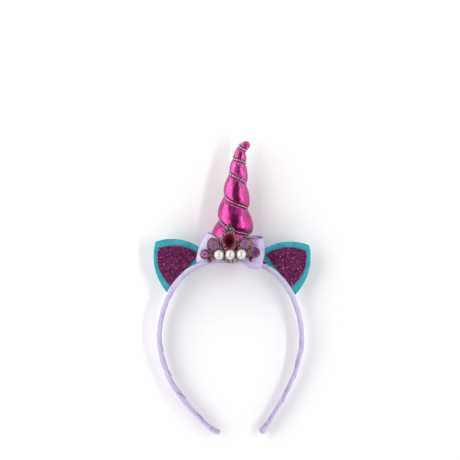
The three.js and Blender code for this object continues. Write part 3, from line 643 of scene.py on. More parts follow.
# The foot is drawn in towards its middle and lies over the hoop
FOOT_RINGS = 14
rim = [e for e in horn_bm.edges if e.is_boundary]
foot_middle = Vector((0.0, HORN_FOOT, 0.0))
for ring in range(FOOT_RINGS):
    grown = bmesh.ops.extrude_edge_only(horn_bm, edges=rim)["geom"]
    rim = [g for g in grown if isinstance(g, bmesh.types.BMEdge) and g.is_boundary]
    shrink = 1 - 1 / (FOOT_RINGS - ring)
    for vert in [g for g in grown if isinstance(g, bmesh.types.BMVert)]:
        vert.co = foot_middle + (vert.co - foot_middle) * max(shrink, 0.001)
bmesh.ops.remove_doubles(horn_bm, verts=horn_bm.verts, dist=2e-3)
fill_ends(horn_bm)
hoop_top = [(float(x), float(y)) for x, y, _ in hoop.samples if abs(x) < 24]
hoop_xs, hoop_ys = zip(*sorted(hoop_top))
for vert in horn_bm.verts:
    if vert.co.y < 2.0 and abs(vert.co.z) < 6.5:
        over_hoop = float(np.interp(vert.co.x, hoop_xs, hoop_ys)) + BAND_THICKNESS / 2 + 0.22
        lift = max(0.0, over_hoop - vert.co.y) * ease(6.4, 5.4, abs(vert.co.z))
        vert.co.y += lift
bmesh.ops.recalc_face_normals(horn_bm, faces=horn_bm.faces)

# %% Foil finish
foil = Paint("magenta_foil", Metallic=1.0, Coat_Weight=0.5, Coat_Roughness=0.05)
foil_place = foil.place()
foil_soft = foil.noise(foil_place, 90.0, 3.0)
foil_fine = foil.noise(foil_place, 1100.0, 2.0)
foil_weave = foil.noise(foil.stretched(foil_place, (1.0, 3.0, 1.0)), 2600.0, 0.0)
# Towards its tip the cloth is drawn in more, and its foil is creased
foil_up = foil.node("SeparateXYZ", {0: foil_place}, output=1)
foil_creased = foil.from_range(foil_up, 75 * MM, 100 * MM, at_low=0.25)
foil_crackle = foil.noise(foil_place, 700.0, 3.0, 0.65)
foil_worn = foil.from_range(foil_crackle, 0.48, 0.66, at_high=0.6)
foil_tone = foil.from_range(foil_soft * 0.7 + foil_fine * 0.3, 0.3, 0.7)
foil_colour = foil.colours(foil_tone, shade(150, 24, 96), shade(198, 58, 146))
foil_height = foil_soft * 0.8 + foil_fine * 0.2 + foil_weave * 0.08 + foil_crackle * foil_creased * 1.6
foil_material = foil.feed(
    Base_Color=foil.colours(foil_worn * foil_creased, foil_colour, shade(226, 150, 190)),
    Roughness=0.23 + foil_soft * 0.14,
    Normal=foil.bump(foil_height, 0.0006, 0.35),
)
horn = new_piece("stuffed_horn", horn_bm, foil_material, ["horn"])

# %% [markdown]
# ## The silver thread
#
# The thread is two strands of silver yarn, twisted round each other. Its section is a figure of eight that
# turns as it goes, so the grid's section is a circle whose radius swells twice on its way round. The grid
# follows the groove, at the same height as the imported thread.

# %% Twisted thread
THREAD_RADIUS = 0.55
THREAD_GAP = 0.3
THREAD_LAST = 5.05
TWIST_PITCH = 2.5
THREAD_STEPS = 1700
THREAD_SIDES = 12
THREAD_SAMPLES = 901


def thread_middle(turn):
    along = thread_along(turn)
    return horn_point(along, turn, puff(along, 0.0), THREAD_GAP + THREAD_RADIUS)


thread_turns = np.linspace(0, THREAD_LAST, THREAD_SAMPLES)
thread = Line(np.array([thread_middle(turn)[:] for turn in thread_turns]))
print("thread length in mm:", round(thread.length))


def thread_place(u, v):
    distance = thread.length * v
    middle = thread.at(distance)
    ahead = thread.ahead(distance, 0.25)
    turn = float(np.interp(distance, thread.distances, thread_turns))
    core = horn_point(thread_along(turn), turn, 0.3)
    across = ahead.cross(middle - core).normalized()
    out = across.cross(ahead)
    angle = u * math.tau
    strand = abs(math.cos(angle - distance / TWIST_PITCH * math.pi))
    radius = THREAD_RADIUS * (0.66 + 0.36 * strand) * ease(-0.02, 0.5, min(distance, thread.length - distance))
    return middle + out * (radius * math.cos(angle)) + across * (radius * math.sin(angle))


silver = Paint("silver_yarn", Metallic=1.0)
silver_place = silver.place()
silver_fibre = silver.noise(silver_place, 5200.0, 1.0)
silver_soft = silver.noise(silver_place, 700.0, 1.0)
silver_around = silver.node("SeparateXYZ", {0: silver.place("UV")})
silver_along = silver.node("SeparateXYZ", {0: silver.place("UV")}, output=1)
twist_angle = silver_around * math.tau - silver_along * (thread.length / TWIST_PITCH * math.pi)
twist = silver.node("Math", {0: twist_angle}, operation="COSINE")
# Painted light and shade: bright along the middle of each strand, painted shade in the groove between the two
# strands.
lit = silver.node("Math", {0: twist}, operation="ABSOLUTE") ** 0.8
silver_stops = [(0.35, shade(46, 28, 40)), (0.72, shade(136, 122, 136)), (1.0, shade(242, 238, 244))]
silver_material = silver.feed(
    Base_Color=silver.ramp(lit * 0.85 + silver_fibre * 0.3, *silver_stops),
    Roughness=0.3 + silver_soft * 0.15,
    Normal=silver.bump(silver_fibre, 0.0001, 0.4),
)
thread_bm = shaped_grid(THREAD_SIDES, THREAD_STEPS, thread_place)
fill_ends(thread_bm)
new_piece("twisted_thread", thread_bm, silver_material, ["horn_thread"])

# %% [markdown]
# ## The ribbon bow
#
# The bow is one wide satin ribbon, laid in a flat loop and pinched in the middle. Seen from the front only the
# loops' fronts show, and they hide the horn's foot. The loop is a closed line seen from above; the grid runs
# round it and then across the ribbon, outside and inside, which gives the ribbon its thickness. The pinch
# throws folds into the loops, deep near the knot and gone where the ribbon is flat.

# %% The bow's loop
RIBBON_WIDTH = 28.0
RIBBON_WALL = 1.0
BOW_PINCHED = 18.6
BOW_MIDDLE = (0.2, 5.4)
BOW_DEPTH = 19.0  # the bow's middle lies this far in front of the hoop's
BOW_OPENING = 3.8
BOW_BEND = 4.6
BOW_OPENS_FROM = 0.22
HALF_LOOP = [(0.0, 0.24), (0.22, 0.25), (0.5, 0.79), (0.8, 1.0), (0.96, 0.63)]
LIE_LEFT = {"half": 24.7, "spread": 1.08, "rise": 3.8, "lean": 22.7, "belly": 2.3}
LIE_RIGHT = {"half": 26.8, "spread": 0.75, "rise": -1.8, "lean": 4.0, "belly": 2.3}
front_half = [(out, opening * BOW_OPENING) for out, opening in HALF_LOOP]
right_loop = front_half + [(1.0, 0.0)] + [(out, -depth) for out, depth in reversed(front_half)]
LOOP_STEPS = 14
BOW_RIBS = 37
loop = catmull_rom(right_loop + [(-out, depth) for out, depth in right_loop[-2:0:-1]], LOOP_STEPS, closed=True)
loop_count = len(loop) - 1


def across_ribbon(v, ribs):
    """Whether a grid row is on the ribbon's outer side, and its share of the ribbon's width."""
    rib = round(v * 2 * ribs) % (2 * ribs)
    outer = rib < ribs
    return outer, (rib if outer else 2 * ribs - 1 - rib) / (ribs - 1)


def bow_folds(x, t, front):
    """The height of the folds that fan out from the knot, in mm."""
    beyond = max(0.0, abs(x) - BOW_OPENS_FROM) / (1 - BOW_OPENS_FROM)
    opened = max(0.0, math.sin(math.pi * beyond)) ** 0.7
    folds = ripple(t * 5.2 + front * 3 + 1.5 * x, x * 1.4, front * 2, 4) * 1.5 * opened
    return folds + ripple(t * 14 + front * 5, x * 3.0, front, 6) * 0.35 * min(1.0, beyond * 4)


def bow_shading_and_edges(u, v):
    """Painted light on the folds, painted shade inside the loops, and darker along the upper edge."""
    x, z = loop[round(u * loop_count) % loop_count]
    outer, t = across_ribbon(v, BOW_RIBS)
    # Darker along the upper edge, and a little along the lower one.
    edge_darkening = 0.5 * ease(0.95, 0.985, t) + 0.12 * ease(0.05, 0.015, t)
    # The inside of each loop gets painted shade, and the folds get painted light.
    return 0.55 + 0.22 * bow_folds(x, t, 1 if z > 0 else -1) - edge_darkening - (0.0 if outer else 0.15)


def bow_place(u, v):
    step = round(u * loop_count) % loop_count
    x, z = loop[step]
    ahead_x, ahead_z = loop[(step + 1) % loop_count]
    outer, t = across_ribbon(v, BOW_RIBS)
    offset = RIBBON_WALL / 2 * (1 if outer else -1)
    lie = LIE_LEFT if x < 0 else LIE_RIGHT
    along = Vector(((ahead_x - x) * lie["half"], 0.0, ahead_z - z)).normalized()
    out = abs(x)
    spread = ease(BOW_OPENS_FROM, lie["spread"], out)
    width = BOW_PINCHED + (RIBBON_WIDTH - BOW_PINCHED) * spread
    beyond = max(0.0, out - BOW_OPENS_FROM) / (1 - BOW_OPENS_FROM)
    lean = math.radians(lie["lean"] * beyond)
    across = (t - 0.5) * width
    gathers = 0.5 * (1 - spread) * math.cos(3 * math.tau * t)
    belly = lie["belly"] * out * math.sin(math.pi * t) * (1 if x > 0 else -1)
    # Folds fan out from the knot and fade towards the loop's end
    front = 1 if z > 0 else -1
    folds = bow_folds(x, t, front)
    # The loops gape a little at the top, where the front sags below the back
    gape = (0.7 if front < 0 else -0.9) * ease(0.45, 0.75, x) * ease(0.55, 1.0, t)
    gape *= 1 - 0.6 * ease(0.85, 1.0, x)
    depth = BOW_DEPTH - BOW_BEND * out * out + z + gathers + folds * (0.5 if front > 0 else 0.15)
    return Vector(
        (
            BOW_MIDDLE[0] + x * lie["half"] + across * math.sin(lean) + belly - along.z * offset,
            BOW_MIDDLE[1] + lie["rise"] * beyond + across * math.cos(lean) + gape,
            depth + along.x * offset,
        )
    )


bow_bm = shaped_grid(loop_count, 2 * BOW_RIBS, bow_place, bow_shading_and_edges)
bow_satin = satin(
    "bow_satin",
    light=(208, 199, 228),
    dark=(172, 158, 202),
    weave=(260.0, 30.0, 1.0),
    streaks=(14.0, 5.0, 1.0),
    roughness=0.33,
    dusted=(19.8, 41.5, 36.0),
)
bow = new_piece("ribbon_bow", bow_bm, bow_satin, ["bow"])
loop_mm = [(x * (LIE_LEFT if x < 0 else LIE_RIGHT)["half"], z - BOW_BEND * x * x) for x, z in loop]
loop_length = sum(math.dist(a, b) for a, b in zip(loop_mm, loop_mm[1:]))
print("ribbon of the bow in mm:", RIBBON_WIDTH, "x", round(loop_length, 1))

# %% [markdown]
# ## The knot
#
# A short band of silver-grey ribbon goes round the pinch and holds the folds together. It is a sleeve with a
# rounded box for its section, and creases run along it because it is pulled tight.

# %% The knot's sleeve
KNOT_WIDTH = 11.0
KNOT_WALL = 1.0
knot_high = BOW_PINCHED / 2 + 0.6
knot_deep = 0.24 * BOW_OPENING + RIBBON_WALL / 2 + 0.5 + 0.6
KNOT_RIBS = 25
KNOT_ROUND = 96
KNOT_CORNERS = 9


def knot_crease(t, c, s):
    """The depth of the creases. They run aslant, because the knot is a little twisted."""
    slant = t + 0.1 * s + 0.14 * c
    crease = 0.3 * math.cos(1.5 * math.tau * slant) ** 2 + 0.75 * abs(ripple(slant * 9, c * 1.1, s * 1.1, 8))
    return min(crease + 0.2 * abs(ripple(slant * 24, c * 2.2, s * 2.2, 9)), 0.9)


def knot_painted_shade(u, v):
    _, t = across_ribbon(v, KNOT_RIBS)
    # Painted shade in the creases: the deeper a crease, the darker.
    return 0.95 - 1.1 * knot_crease(t, math.cos(u * math.tau), math.sin(u * math.tau))


def knot_place(u, v):
    outer, t = across_ribbon(v, KNOT_RIBS)
    c, s = math.cos(u * math.tau), math.sin(u * math.tau)
    up, forwards = squarish(u, KNOT_CORNERS)
    more = KNOT_WALL - knot_crease(t, c, s) if outer else 0.0
    waist = 1 - (0.14 if c < 0 else 0.06) * abs(2 * t - 1) ** 2.5
    return Vector(
        (
            BOW_MIDDLE[0] + (t - 0.5) * KNOT_WIDTH,
            BOW_MIDDLE[1] + up * (knot_high + more) * waist,
            BOW_DEPTH + forwards * (knot_deep + more),
        )
    )


knot_satin = satin(
    "knot_satin",
    light=(158, 150, 152),
    # The dark colour is the painted shade deep in the creases.
    dark=(62, 52, 58),
    weave=(300.0, 40.0, 1.0),
    streaks=(30.0, 8.0, 1.0),
    roughness=0.28,
)
knot_bm = shaped_grid(KNOT_ROUND, 2 * KNOT_RIBS, knot_place, knot_painted_shade)
knot = new_piece("creased_knot", knot_bm, knot_satin, ["bow_knot"])

# %% [markdown]
# ## The ears
#
# Each ear is cut from thick turquoise felt and glued to the outside of the hoop. Its outline is two arcs that
# meet in a tip, closed by the hoop's own curve. Rings of the outline close in on a middle point, and the
# outermost ones round the edges, since felt cuts to a soft edge. The bevel operator would do it with less
# code, but its offsets cross each other in the sharp corner at the ear's foot. The cut isn't quite even, so
# the outline gets a little noise.

# %% Leaf outlines that stand on the hoop
EAR_BASE = 49.5
EAR_TIPS = {-1: (3.0, 38.4), 1: (2.1, 38.4)}
EAR_BULGE = 6.1
EAR_FELT = 3.0
FELT_ROUNDING = 0.55
# The distances from the crown at which an ear's base line crosses the hoop's outer face
EAR_SEATS = {-1: (65.7, 35.7), 1: (67.9, 38.4)}
HOOP_CHECKS = 300


def arc(start, end, bow, steps):
    """Points on an arc from start to end that bows out to the left."""
    start, end = Vector(start), Vector(end)
    chord = (end - start).length
    radius = chord * chord / (8 * bow) + bow / 2
    half = math.asin(chord / (2 * radius))
    along = (end - start).normalized()
    left = Vector((-along.y, along.x))
    centre = (start + end) / 2 + left * (bow - radius)
    angles = [half * (2 * i / steps - 1) for i in range(steps + 1)]
    return [centre + left * radius * math.cos(a) + along * radius * math.sin(a) for a in angles]


def outside_of_hoop(side, distance, more=0.0):
    middle, out = hoop_frame(crown_at + side * distance)
    return (middle + out * (BAND_THICKNESS / 2 + more)).xy


def stand_on_hoop(points, side):
    foot, upper = EAR_SEATS[side]
    foot_point = outside_of_hoop(side, foot)
    along = (outside_of_hoop(side, upper) - foot_point).normalized()
    out = Vector((along.y, -along.x)) * side
    return [foot_point + along * (p.x + EAR_BASE / 2) + out * p.y for p in points]


def leaf(start, end, base, tip, bulge, steps):
    up = arc((start, base), tip, bulge, steps)
    down = arc(tip, (end, base), bulge, steps)
    return up[:-1] + [up[-2].lerp(Vector(tip), 0.7), down[1].lerp(Vector(tip), 0.7)] + down[1:]


def clear_of_hoop(points, side, more=0.3):
    """Drops the points that lie inside the hoop's outer face, and closes the outline along that face."""
    distances = np.linspace(EAR_SEATS[side][0] + 8, EAR_SEATS[side][1] - 26, HOOP_CHECKS)
    line = [outside_of_hoop(side, d, more + leg_more(crown_at + side * d)) for d in distances]
    outs = [hoop_frame(crown_at + side * distance)[1].xy for distance in distances]
    kept = []
    for point in points:
        nearest = min(range(HOOP_CHECKS), key=lambda i: (line[i] - point).length_squared)
        if (point - line[nearest]).dot(outs[nearest]) > 0.02:
            kept.append((point, nearest))
    first, last = kept[0][1], kept[-1][1]
    seam = line[last:first:3] if last < first else line[last:first:-3]
    return [point for point, _ in kept] + seam[1:]


def uneven(points, amount):
    """The slight wobble of an edge that was cut by hand."""
    places = [(p.x * 0.9, p.y * 0.9) for p in points]
    wobble = [Vector((ripple(x, y, 0, 1), ripple(x, y, 9, 2))) for x, y in places]
    return [p + w * amount for p, w in zip(points, wobble)]


def outline_on_hoop(sides, base, side, amount):
    """A leaf's outline where it stands on the hoop, without points that lie almost on the one before."""
    points = clear_of_hoop(uneven(stand_on_hoop(sides, side), amount) + stand_on_hoop(base, side), side)
    return [p for i, p in enumerate(points) if (p - points[i - 1]).length > 0.12]


def add_plate(bm, points, back, front):
    """Adds a flat plate of an outline."""
    face = bm.faces.new([bm.verts.new((p.x, p.y, back)) for p in points])
    lifted = bmesh.ops.extrude_face_region(bm, geom=[face])["geom"]
    for vert in [g for g in lifted if isinstance(g, bmesh.types.BMVert)]:
        vert.co.z = front


# How far each ring lies in from the edge and up from the flat side, as shares of the rounding's radius
ROUNDING = [(2.0, 0.0), (1.0, 0.0), (0.5, 0.134), (0.134, 0.5), (0.0, 1.0)]


def rounded_plate(points, back, front, radius):
    """A flat plate of an outline with rounded edges: rings that close in on a middle point."""
    middle = sum(points, Vector((0, 0))) / len(points)
    rings = [(None, back)] + [(inset * radius, back + rise * radius) for inset, rise in ROUNDING]
    rings += [(inset * radius, front - rise * radius) for inset, rise in reversed(ROUNDING)] + [(None, front)]

    def place(u, v):
        point = points[round(u * len(points)) % len(points)]
        inset, z = rings[round(v * (len(rings) - 1))]
        at = middle if inset is None else point + (middle - point).normalized() * inset
        return Vector((at.x, at.y, z))

    return shaped_grid(len(points), len(rings) - 1, place)


# %% Felt
felt = Paint("turquoise_felt", Roughness=0.95, Sheen_Weight=0.5, Sheen_Roughness=0.6, Specular_IOR_Level=0.15)
felt_place = felt.place()
felt_fibres = felt.noise(felt.stretched(felt_place, (1.0, 3.0, 1.0), (0, 0, 0.6)), 900.0, 3.0, 0.7)
felt_other = felt.noise(felt.stretched(felt_place, (3.0, 1.0, 1.0), (0, 0, 0.2)), 1200.0, 3.0, 0.7)
felt_clouds = felt.noise(felt_place, 130.0, 3.0)
felt_tone = felt_fibres * 0.4 + felt_other * 0.35 + felt_clouds * 0.25
felt_material = felt.feed(
    Base_Color=felt.ramp(
        felt_tone, (0.34, shade(8, 122, 134)), (0.5, shade(24, 160, 172)), (0.66, shade(92, 202, 208))
    ),
    Normal=felt.bump(felt_fibres + felt_other, 0.0005, 0.7),
)

EAR_TRIM = 1.4
SIDES = {"left": -1, "right": 1}
for name, side in SIDES.items():
    sides = leaf(-EAR_BASE / 2, EAR_BASE / 2, 0.0, EAR_TIPS[side], EAR_BULGE, 60)
    base = [Vector((mix(EAR_BASE / 2, -EAR_BASE / 2, i / 90), -EAR_TRIM)) for i in range(91)]
    outline = outline_on_hoop(sides, base, side, 0.18)
    ear_bm = rounded_plate(outline, -EAR_FELT / 2, EAR_FELT / 2, FELT_ROUNDING)
    ear = new_piece(f"felt_ear_{name}", ear_bm, felt_material, [f"ear_{name}"])

# %% [markdown]
# ## Glitter sheet
#
# A smaller leaf of glitter sheet is glued on each ear. Such a sheet is plastic with thousands of small foil
# flakes stuck on it, each tipped its own way, so at any moment only some catch the light. Real flakes do this
# better than a texture: each is a little hexagon with a random tilt and a random number for its colour. A
# jittered grid spreads them evenly. The sheet under them is dark, with finer sparkle in its texture.

# %% Glitter materials
sheet_paint = Paint("glitter_sheet", Metallic=0.2)
grain_light = sheet_paint.grains(sheet_paint.place(), 1900.0)
sheet_material = sheet_paint.feed(
    Base_Color=sheet_paint.ramp(
        grain_light, (0.1, shade(46, 8, 34)), (0.6, shade(94, 20, 68)), (0.95, shade(166, 54, 130))
    ),
    Roughness=0.35 + grain_light * 0.3,
    Normal=sheet_paint.bump(grain_light, 0.0003, 0.6),
)
flake_paint = Paint("glitter_flakes", Metallic=0.9)
flake_chance = flake_paint.read("chance")
flake_patches = flake_paint.from_range(flake_paint.noise(flake_paint.place(), 520.0, 2.0), 0.3, 0.7)
flake_darks = [(0.1, shade(26, 4, 18)), (0.45, shade(92, 16, 66))]
flake_lights = [(0.75, shade(152, 40, 114)), (0.95, shade(244, 138, 206))]
flake_material = flake_paint.feed(
    Base_Color=flake_paint.ramp(flake_chance * 0.6 + flake_patches * 0.4, *flake_darks, *flake_lights),
    Roughness=0.25 + flake_chance * 0.15,
)


def inside(point, outline):
    """Whether a point is inside an outline: a ray from it crosses the outline an odd number of times."""
    crossings = 0
    for a, b in zip(outline, outline[1:] + outline[:1]):
        if (a.y > point.y) != (b.y > point.y):
            crossings += point.x < a.x + (point.y - a.y) * (b.x - a.x) / (b.y - a.y)
    return crossings % 2 == 1


FLAKE_RADIUS = 0.56
FLAKE_PITCH = 0.86


def flake(bm, place):
    return bmesh.ops.create_circle(bm, cap_ends=True, segments=6, radius=FLAKE_RADIUS, matrix=place)


def glitter_places(outline, front, rng):
    """A jittered grid of places for flakes, with a random tilt, turn, size and chance for each."""
    xs, ys = [p.x for p in outline], [p.y for p in outline]
    places = []
    for i in range(int((max(xs) - min(xs)) / FLAKE_PITCH) + 1):
        for j in range(int((max(ys) - min(ys)) / FLAKE_PITCH) + 1):
            x = min(xs) + (i + rng.uniform(-0.1, 1.1)) * FLAKE_PITCH
            y = min(ys) + (j + rng.uniform(-0.1, 1.1)) * FLAKE_PITCH
            near = [Vector((x + dx, y + dy)) for dx, dy in ((0.45, 0), (-0.45, 0), (0, 0.45), (0, -0.45))]
            if not all(inside(p, outline) for p in near):
                continue
            tilt = Matrix.Rotation(rng.gauss(0, 0.4), 4, "X") @ Matrix.Rotation(rng.gauss(0, 0.4), 4, "Y")
            size = Matrix.Scale(rng.uniform(0.65, 1.0), 4)
            turn = Matrix.Rotation(rng.uniform(0, math.tau), 4, "Z")
            lifted = Matrix.Translation((x, y, front + rng.uniform(0.0, 0.14)))
            places.append((lifted @ tilt @ turn @ size, rng.random()))
    return places


# %% Glitter panels
PANELS = {
    -1: {"from": -17.8, "to": 19.5, "seam": 2.2, "tip": (0.1, 32.6)},
    1: {"from": -16.4, "to": 19.6, "seam": 3.0, "tip": (0.1, 32.8)},
}
SCRAP = [(28.0, -3.4), (28.2, -6.4), (31.4, -7.0), (31.6, -5.8), (30.0, -3.2)]
PANEL_BACK = EAR_FELT / 2 + 0.3
PANEL_FRONT = PANEL_BACK + 0.9
SHEET_ROUNDING = 0.2


def glitter_piece(name, outline, node, seed):
    bm = rounded_plate(outline, PANEL_BACK, PANEL_FRONT, SHEET_ROUNDING)
    new_piece(f"glitter_{name}", bm, sheet_material, [node])
    places = glitter_places(outline, PANEL_FRONT, random.Random(seed))
    sprinkle(f"flakes_{name}", flake, places, flake_material)


for name, side in SIDES.items():
    panel = PANELS[side]
    sides = leaf(panel["from"], panel["to"], panel["seam"], panel["tip"], 5.0, 40)
    base = [Vector((mix(panel["to"], panel["from"], i / 60), panel["seam"])) for i in range(1, 60)]
    glitter_piece(name, outline_on_hoop(sides, base, side, 0.1), f"ear_panel_{name}", 10 + side)
glitter_piece("scrap", [Vector(p) for p in SCRAP], "glitter_scrap", 30)

# %% [markdown]
# ## The tiara's casting
#
# The tiara is a small casting, made to look like pave jewellery: a plate of overlapping lobes, raised collets
# round five set stones, and rows of tiny stones between fine beaded edges. Casting softens every edge. So the
# lobes and bars are dropped into one mesh without joining them, and a voxel remesh then melts them together,
# as it would melt clay. The crisp parts, which are the stones and the beads, are separate pieces on top.

# %% The tiara's outlines
TIARA_PLATE = 2.0
RIM_WIDTH = 1.1
TIARA_TILT = 1.6
tiara_at = Matrix.Translation((-0.3, 3.1, 22.8)) @ Matrix.Rotation(math.radians(TIARA_TILT), 4, "Z")
STONES = {
    "pear": {"x": -0.5, "y": 11.4, "wide": 5.1, "high": 6.5, "turn": 0, "border": 3.0, "pear": True},
    "oval_left": {"x": -14.3, "y": 8.3, "wide": 3.3, "high": 4.2, "turn": 16, "border": 2.7},
    "oval_right": {"x": 13.3, "y": 8.8, "wide": 3.3, "high": 4.2, "turn": -16, "border": 3.2},
    "small_left": {"x": -22.2, "y": 0.7, "wide": 2.2, "high": 2.5, "turn": 0, "border": 2.2},
    "small_right": {"x": 21.9, "y": 0.9, "wide": 2.2, "high": 2.6, "turn": 0, "border": 2.3},
}
BAR = {"half": 17.0, "low": -3.2, "high": 3.0}
LOBES = [
    {"x": -18.3, "y": -3.0, "wide": 2.7, "high": 4.4},
    {"x": 18.3, "y": -3.0, "wide": 2.7, "high": 4.4},
    {"x": -0.2, "y": 19.8, "wide": 2.0, "high": 3.0},
    {"x": -0.2, "y": 21.7, "wide": 4.7, "high": 1.9},
    {"x": 0.0, "y": 25.0, "wide": 1.6, "high": 2.2},
    {"x": -0.1, "y": 22.4, "wide": 3.2, "high": 2.6},
    {"x": -7.0, "y": 4.6, "wide": 3.6, "high": 3.6},
]
PEARL = 8.8
PEARLS = {"pearl_left": -9.8, "pearl_middle": 0.0, "pearl_right": 9.8}


def round_outline(spec, grow, sides, shift=0.0):
    """An oval, or a pear with its point down, larger than the stone by grow. A pear's border is blunter."""
    turn = math.radians(spec.get("turn", 0))
    pointed = (0.42 if grow > 1.5 else 0.58) if spec.get("pear") else 0.0
    points = []
    for i in range(sides):
        angle = (i + shift) * math.tau / sides + math.pi / 2
        narrow = 1 - pointed * max(0.0, -math.sin(angle)) ** 1.25
        x, y = (spec["wide"] + grow) * math.cos(angle) * narrow, (spec["high"] + grow) * math.sin(angle)
        turned = (x * math.cos(turn) - y * math.sin(turn), x * math.sin(turn) + y * math.cos(turn))
        points.append(Vector((spec["x"] + turned[0], spec["y"] + turned[1])))
    return points


def line_round(outline):
    return Line(np.array([p[:] for p in outline + outline[:1]]))


def spaced(outline, pitch):
    """Points at even distances round an outline."""
    ring = line_round(outline)
    count = round(ring.length / pitch)
    return [ring.at(ring.length * i / count) for i in range(count)]


def add_tube(bm, outline, radius, height, squash=1.0, sides=10):
    """A round bar that runs round an outline, for a rim."""
    ring = line_round(outline)
    steps = len(outline) * 2
    tube = bmesh.ops.create_grid(bm, x_segments=sides, y_segments=steps, size=0.5)["verts"]
    for vert in tube:
        angle, distance = (vert.co.x + 0.5) * math.tau, (vert.co.y + 0.5) * ring.length
        before, after = ring.at((distance - 0.3) % ring.length), ring.at((distance + 0.3) % ring.length)
        along = (after - before).normalized()
        out = radius * math.cos(angle)
        middle = ring.at(distance % ring.length)
        rise = radius * squash * math.sin(angle)
        vert.co = (middle.x + along.y * out, middle.y - along.x * out, height + rise)
    bmesh.ops.remove_doubles(bm, verts=tube, dist=1e-4)


# %% The casting
PEARL_CUP = 4.9
CUP_BOTTOM = -2.9
CUP_SIDES = 40
VOXEL = 0.26
casting_bm = bmesh.new()
bar_corners = ((-1, "low"), (1, "low"), (1, "high"), (-1, "high"))
bar_outline = [Vector((end * BAR["half"], BAR[edge])) for end, edge in bar_corners]
add_plate(casting_bm, bar_outline, 0.05, TIARA_PLATE - 0.1)
for lobe in LOBES:
    add_plate(casting_bm, round_outline(lobe, -0.1, 40), 0.05, TIARA_PLATE - 0.1)
    add_tube(casting_bm, round_outline(lobe, -0.45, 40), 0.38, TIARA_PLATE - 0.05)
for stone in STONES.values():
    add_plate(casting_bm, round_outline(stone, stone["border"] - 0.1, 48), 0.05, TIARA_PLATE - 0.1)
    add_tube(casting_bm, round_outline(stone, stone["border"] - 0.5, 48), 0.42, TIARA_PLATE - 0.1)
    add_tube(casting_bm, round_outline(stone, RIM_WIDTH * 0.55, 48), RIM_WIDTH / 2, TIARA_PLATE + 0.45, 1.3)
for x in PEARLS.values():
    angles = [i * math.tau / CUP_SIDES for i in range(CUP_SIDES)]
    cup = [Vector((x + PEARL_CUP * math.cos(a), max(PEARL_CUP * math.sin(a), CUP_BOTTOM))) for a in angles]
    add_tube(casting_bm, cup, 0.5, TIARA_PLATE + 0.1)
bmesh.ops.recalc_face_normals(casting_bm, faces=casting_bm.faces)
bmesh.ops.transform(casting_bm, matrix=tiara_at, verts=casting_bm.verts)

cast = Paint("cast_metal", Metallic=0.85, Specular_IOR_Level=0.5)
cast_place = cast.place()
cast_grain = cast.noise(cast_place, 2600.0, 2.0)
cast_patches = cast.noise(cast_place, 420.0, 2.0)
cast_material = cast.feed(
    Base_Color=cast.ramp(
        cast_grain * 0.6 + cast_patches * 0.4,
        (0.36, shade(60, 30, 42)),
        (0.5, shade(124, 84, 98)),
        (0.66, shade(198, 164, 176)),
    ),
    Roughness=0.26 + cast_patches * 0.2,
    Normal=cast.bump(cast_grain, 0.0002, 0.5),
)
casting = new_piece("tiara_casting", casting_bm, cast_material, ["tiara"])
melt = casting.modifiers.new("melt", "REMESH")
melt.mode = "VOXEL"
melt.voxel_size = VOXEL * MM
melt.use_smooth_shade = True

# %% [markdown]
# ## Small stones and beads
#
# Each tiny stone is a cone with its point cut off and eight sides, which is all that shows at this size. A row
# of them follows every border at an even pitch, and a stone is left out where it would touch another or hide
# under a pearl. Beads run along the edges in the same way. Both are one mesh each, because hundreds of
# separate objects would be slow to work with.

# %% Where the small stones sit
def near_pearl(point):
    return any(math.hypot(point.x - x, point.y) < PEARL / 2 + 0.2 for x in PEARLS.values())


stone_outlines = [round_outline(s, RIM_WIDTH + 0.45, 40) for s in STONES.values()]
seats = []
for stone in STONES.values():
    seats += spaced(round_outline(stone, (RIM_WIDTH + stone["border"]) / 2 + 0.12, 60), 1.16)
for lobe in LOBES:
    seats += spaced(round_outline(lobe, -1.05, 40), 1.12)
    seats.append(Vector((lobe["x"], lobe["y"])))
seats += [Vector((x * 1.15, y)) for x in range(-14, 15) for y in (-1.9, 0.0, 1.9, 3.6)]
taken = []
lobe_outlines = [round_outline(lobe, -0.5, 40) for lobe in LOBES]
lobe_outlines += [round_outline(s, s["border"] - 0.5, 40) for s in STONES.values()] + [bar_outline]
for seat in seats:
    in_stone = any(inside(seat, outline) for outline in stone_outlines)
    crowded = any((seat - other).length < 1.0 for other in taken)
    off_plate = not any(inside(seat, outline) for outline in lobe_outlines)
    if not (in_stone or near_pearl(seat) or crowded or off_plate):
        taken.append(seat)


SMALL_STONE = {"radius1": 0.54, "radius2": 0.27, "depth": 0.5}


def small_stone(bm, place):
    raised = place @ Matrix.Translation((0, 0, SMALL_STONE["depth"] / 2))
    return bmesh.ops.create_cone(bm, cap_ends=True, segments=8, matrix=raised, **SMALL_STONE)


def bead(bm, place):
    return bmesh.ops.create_icosphere(bm, subdivisions=2, radius=0.3, matrix=place)


def on_tiara(points, height, rng, tilt=0.0):
    return [
        (
            tiara_at
            @ Matrix.Translation((p.x, p.y, height))
            @ Matrix.Rotation(rng.uniform(-tilt, tilt), 4, "X")
            @ Matrix.Rotation(rng.uniform(-tilt, tilt), 4, "Y")
            @ Matrix.Rotation(rng.uniform(0, math.tau), 4, "Z"),
            rng.random(),
        )
        for p in points
    ]


glass = Paint("small_stones", Metallic=0.75, Coat_Weight=0.8, Coat_Roughness=0.05)
glass_chance = glass.read("chance")
glass_darks = [(0.0, shade(36, 14, 24)), (0.4, shade(100, 58, 74))]
glass_lights = [(0.7, shade(168, 128, 142)), (1.0, shade(244, 228, 234))]
glass_material = glass.feed(
    Base_Color=glass.ramp(glass_chance, *glass_darks, *glass_lights),
    Roughness=0.12 + glass_chance * 0.1,
)
rng = random.Random(5)
sprinkle("small_stones", small_stone, on_tiara(taken, TIARA_PLATE, rng, 0.4), glass_material)

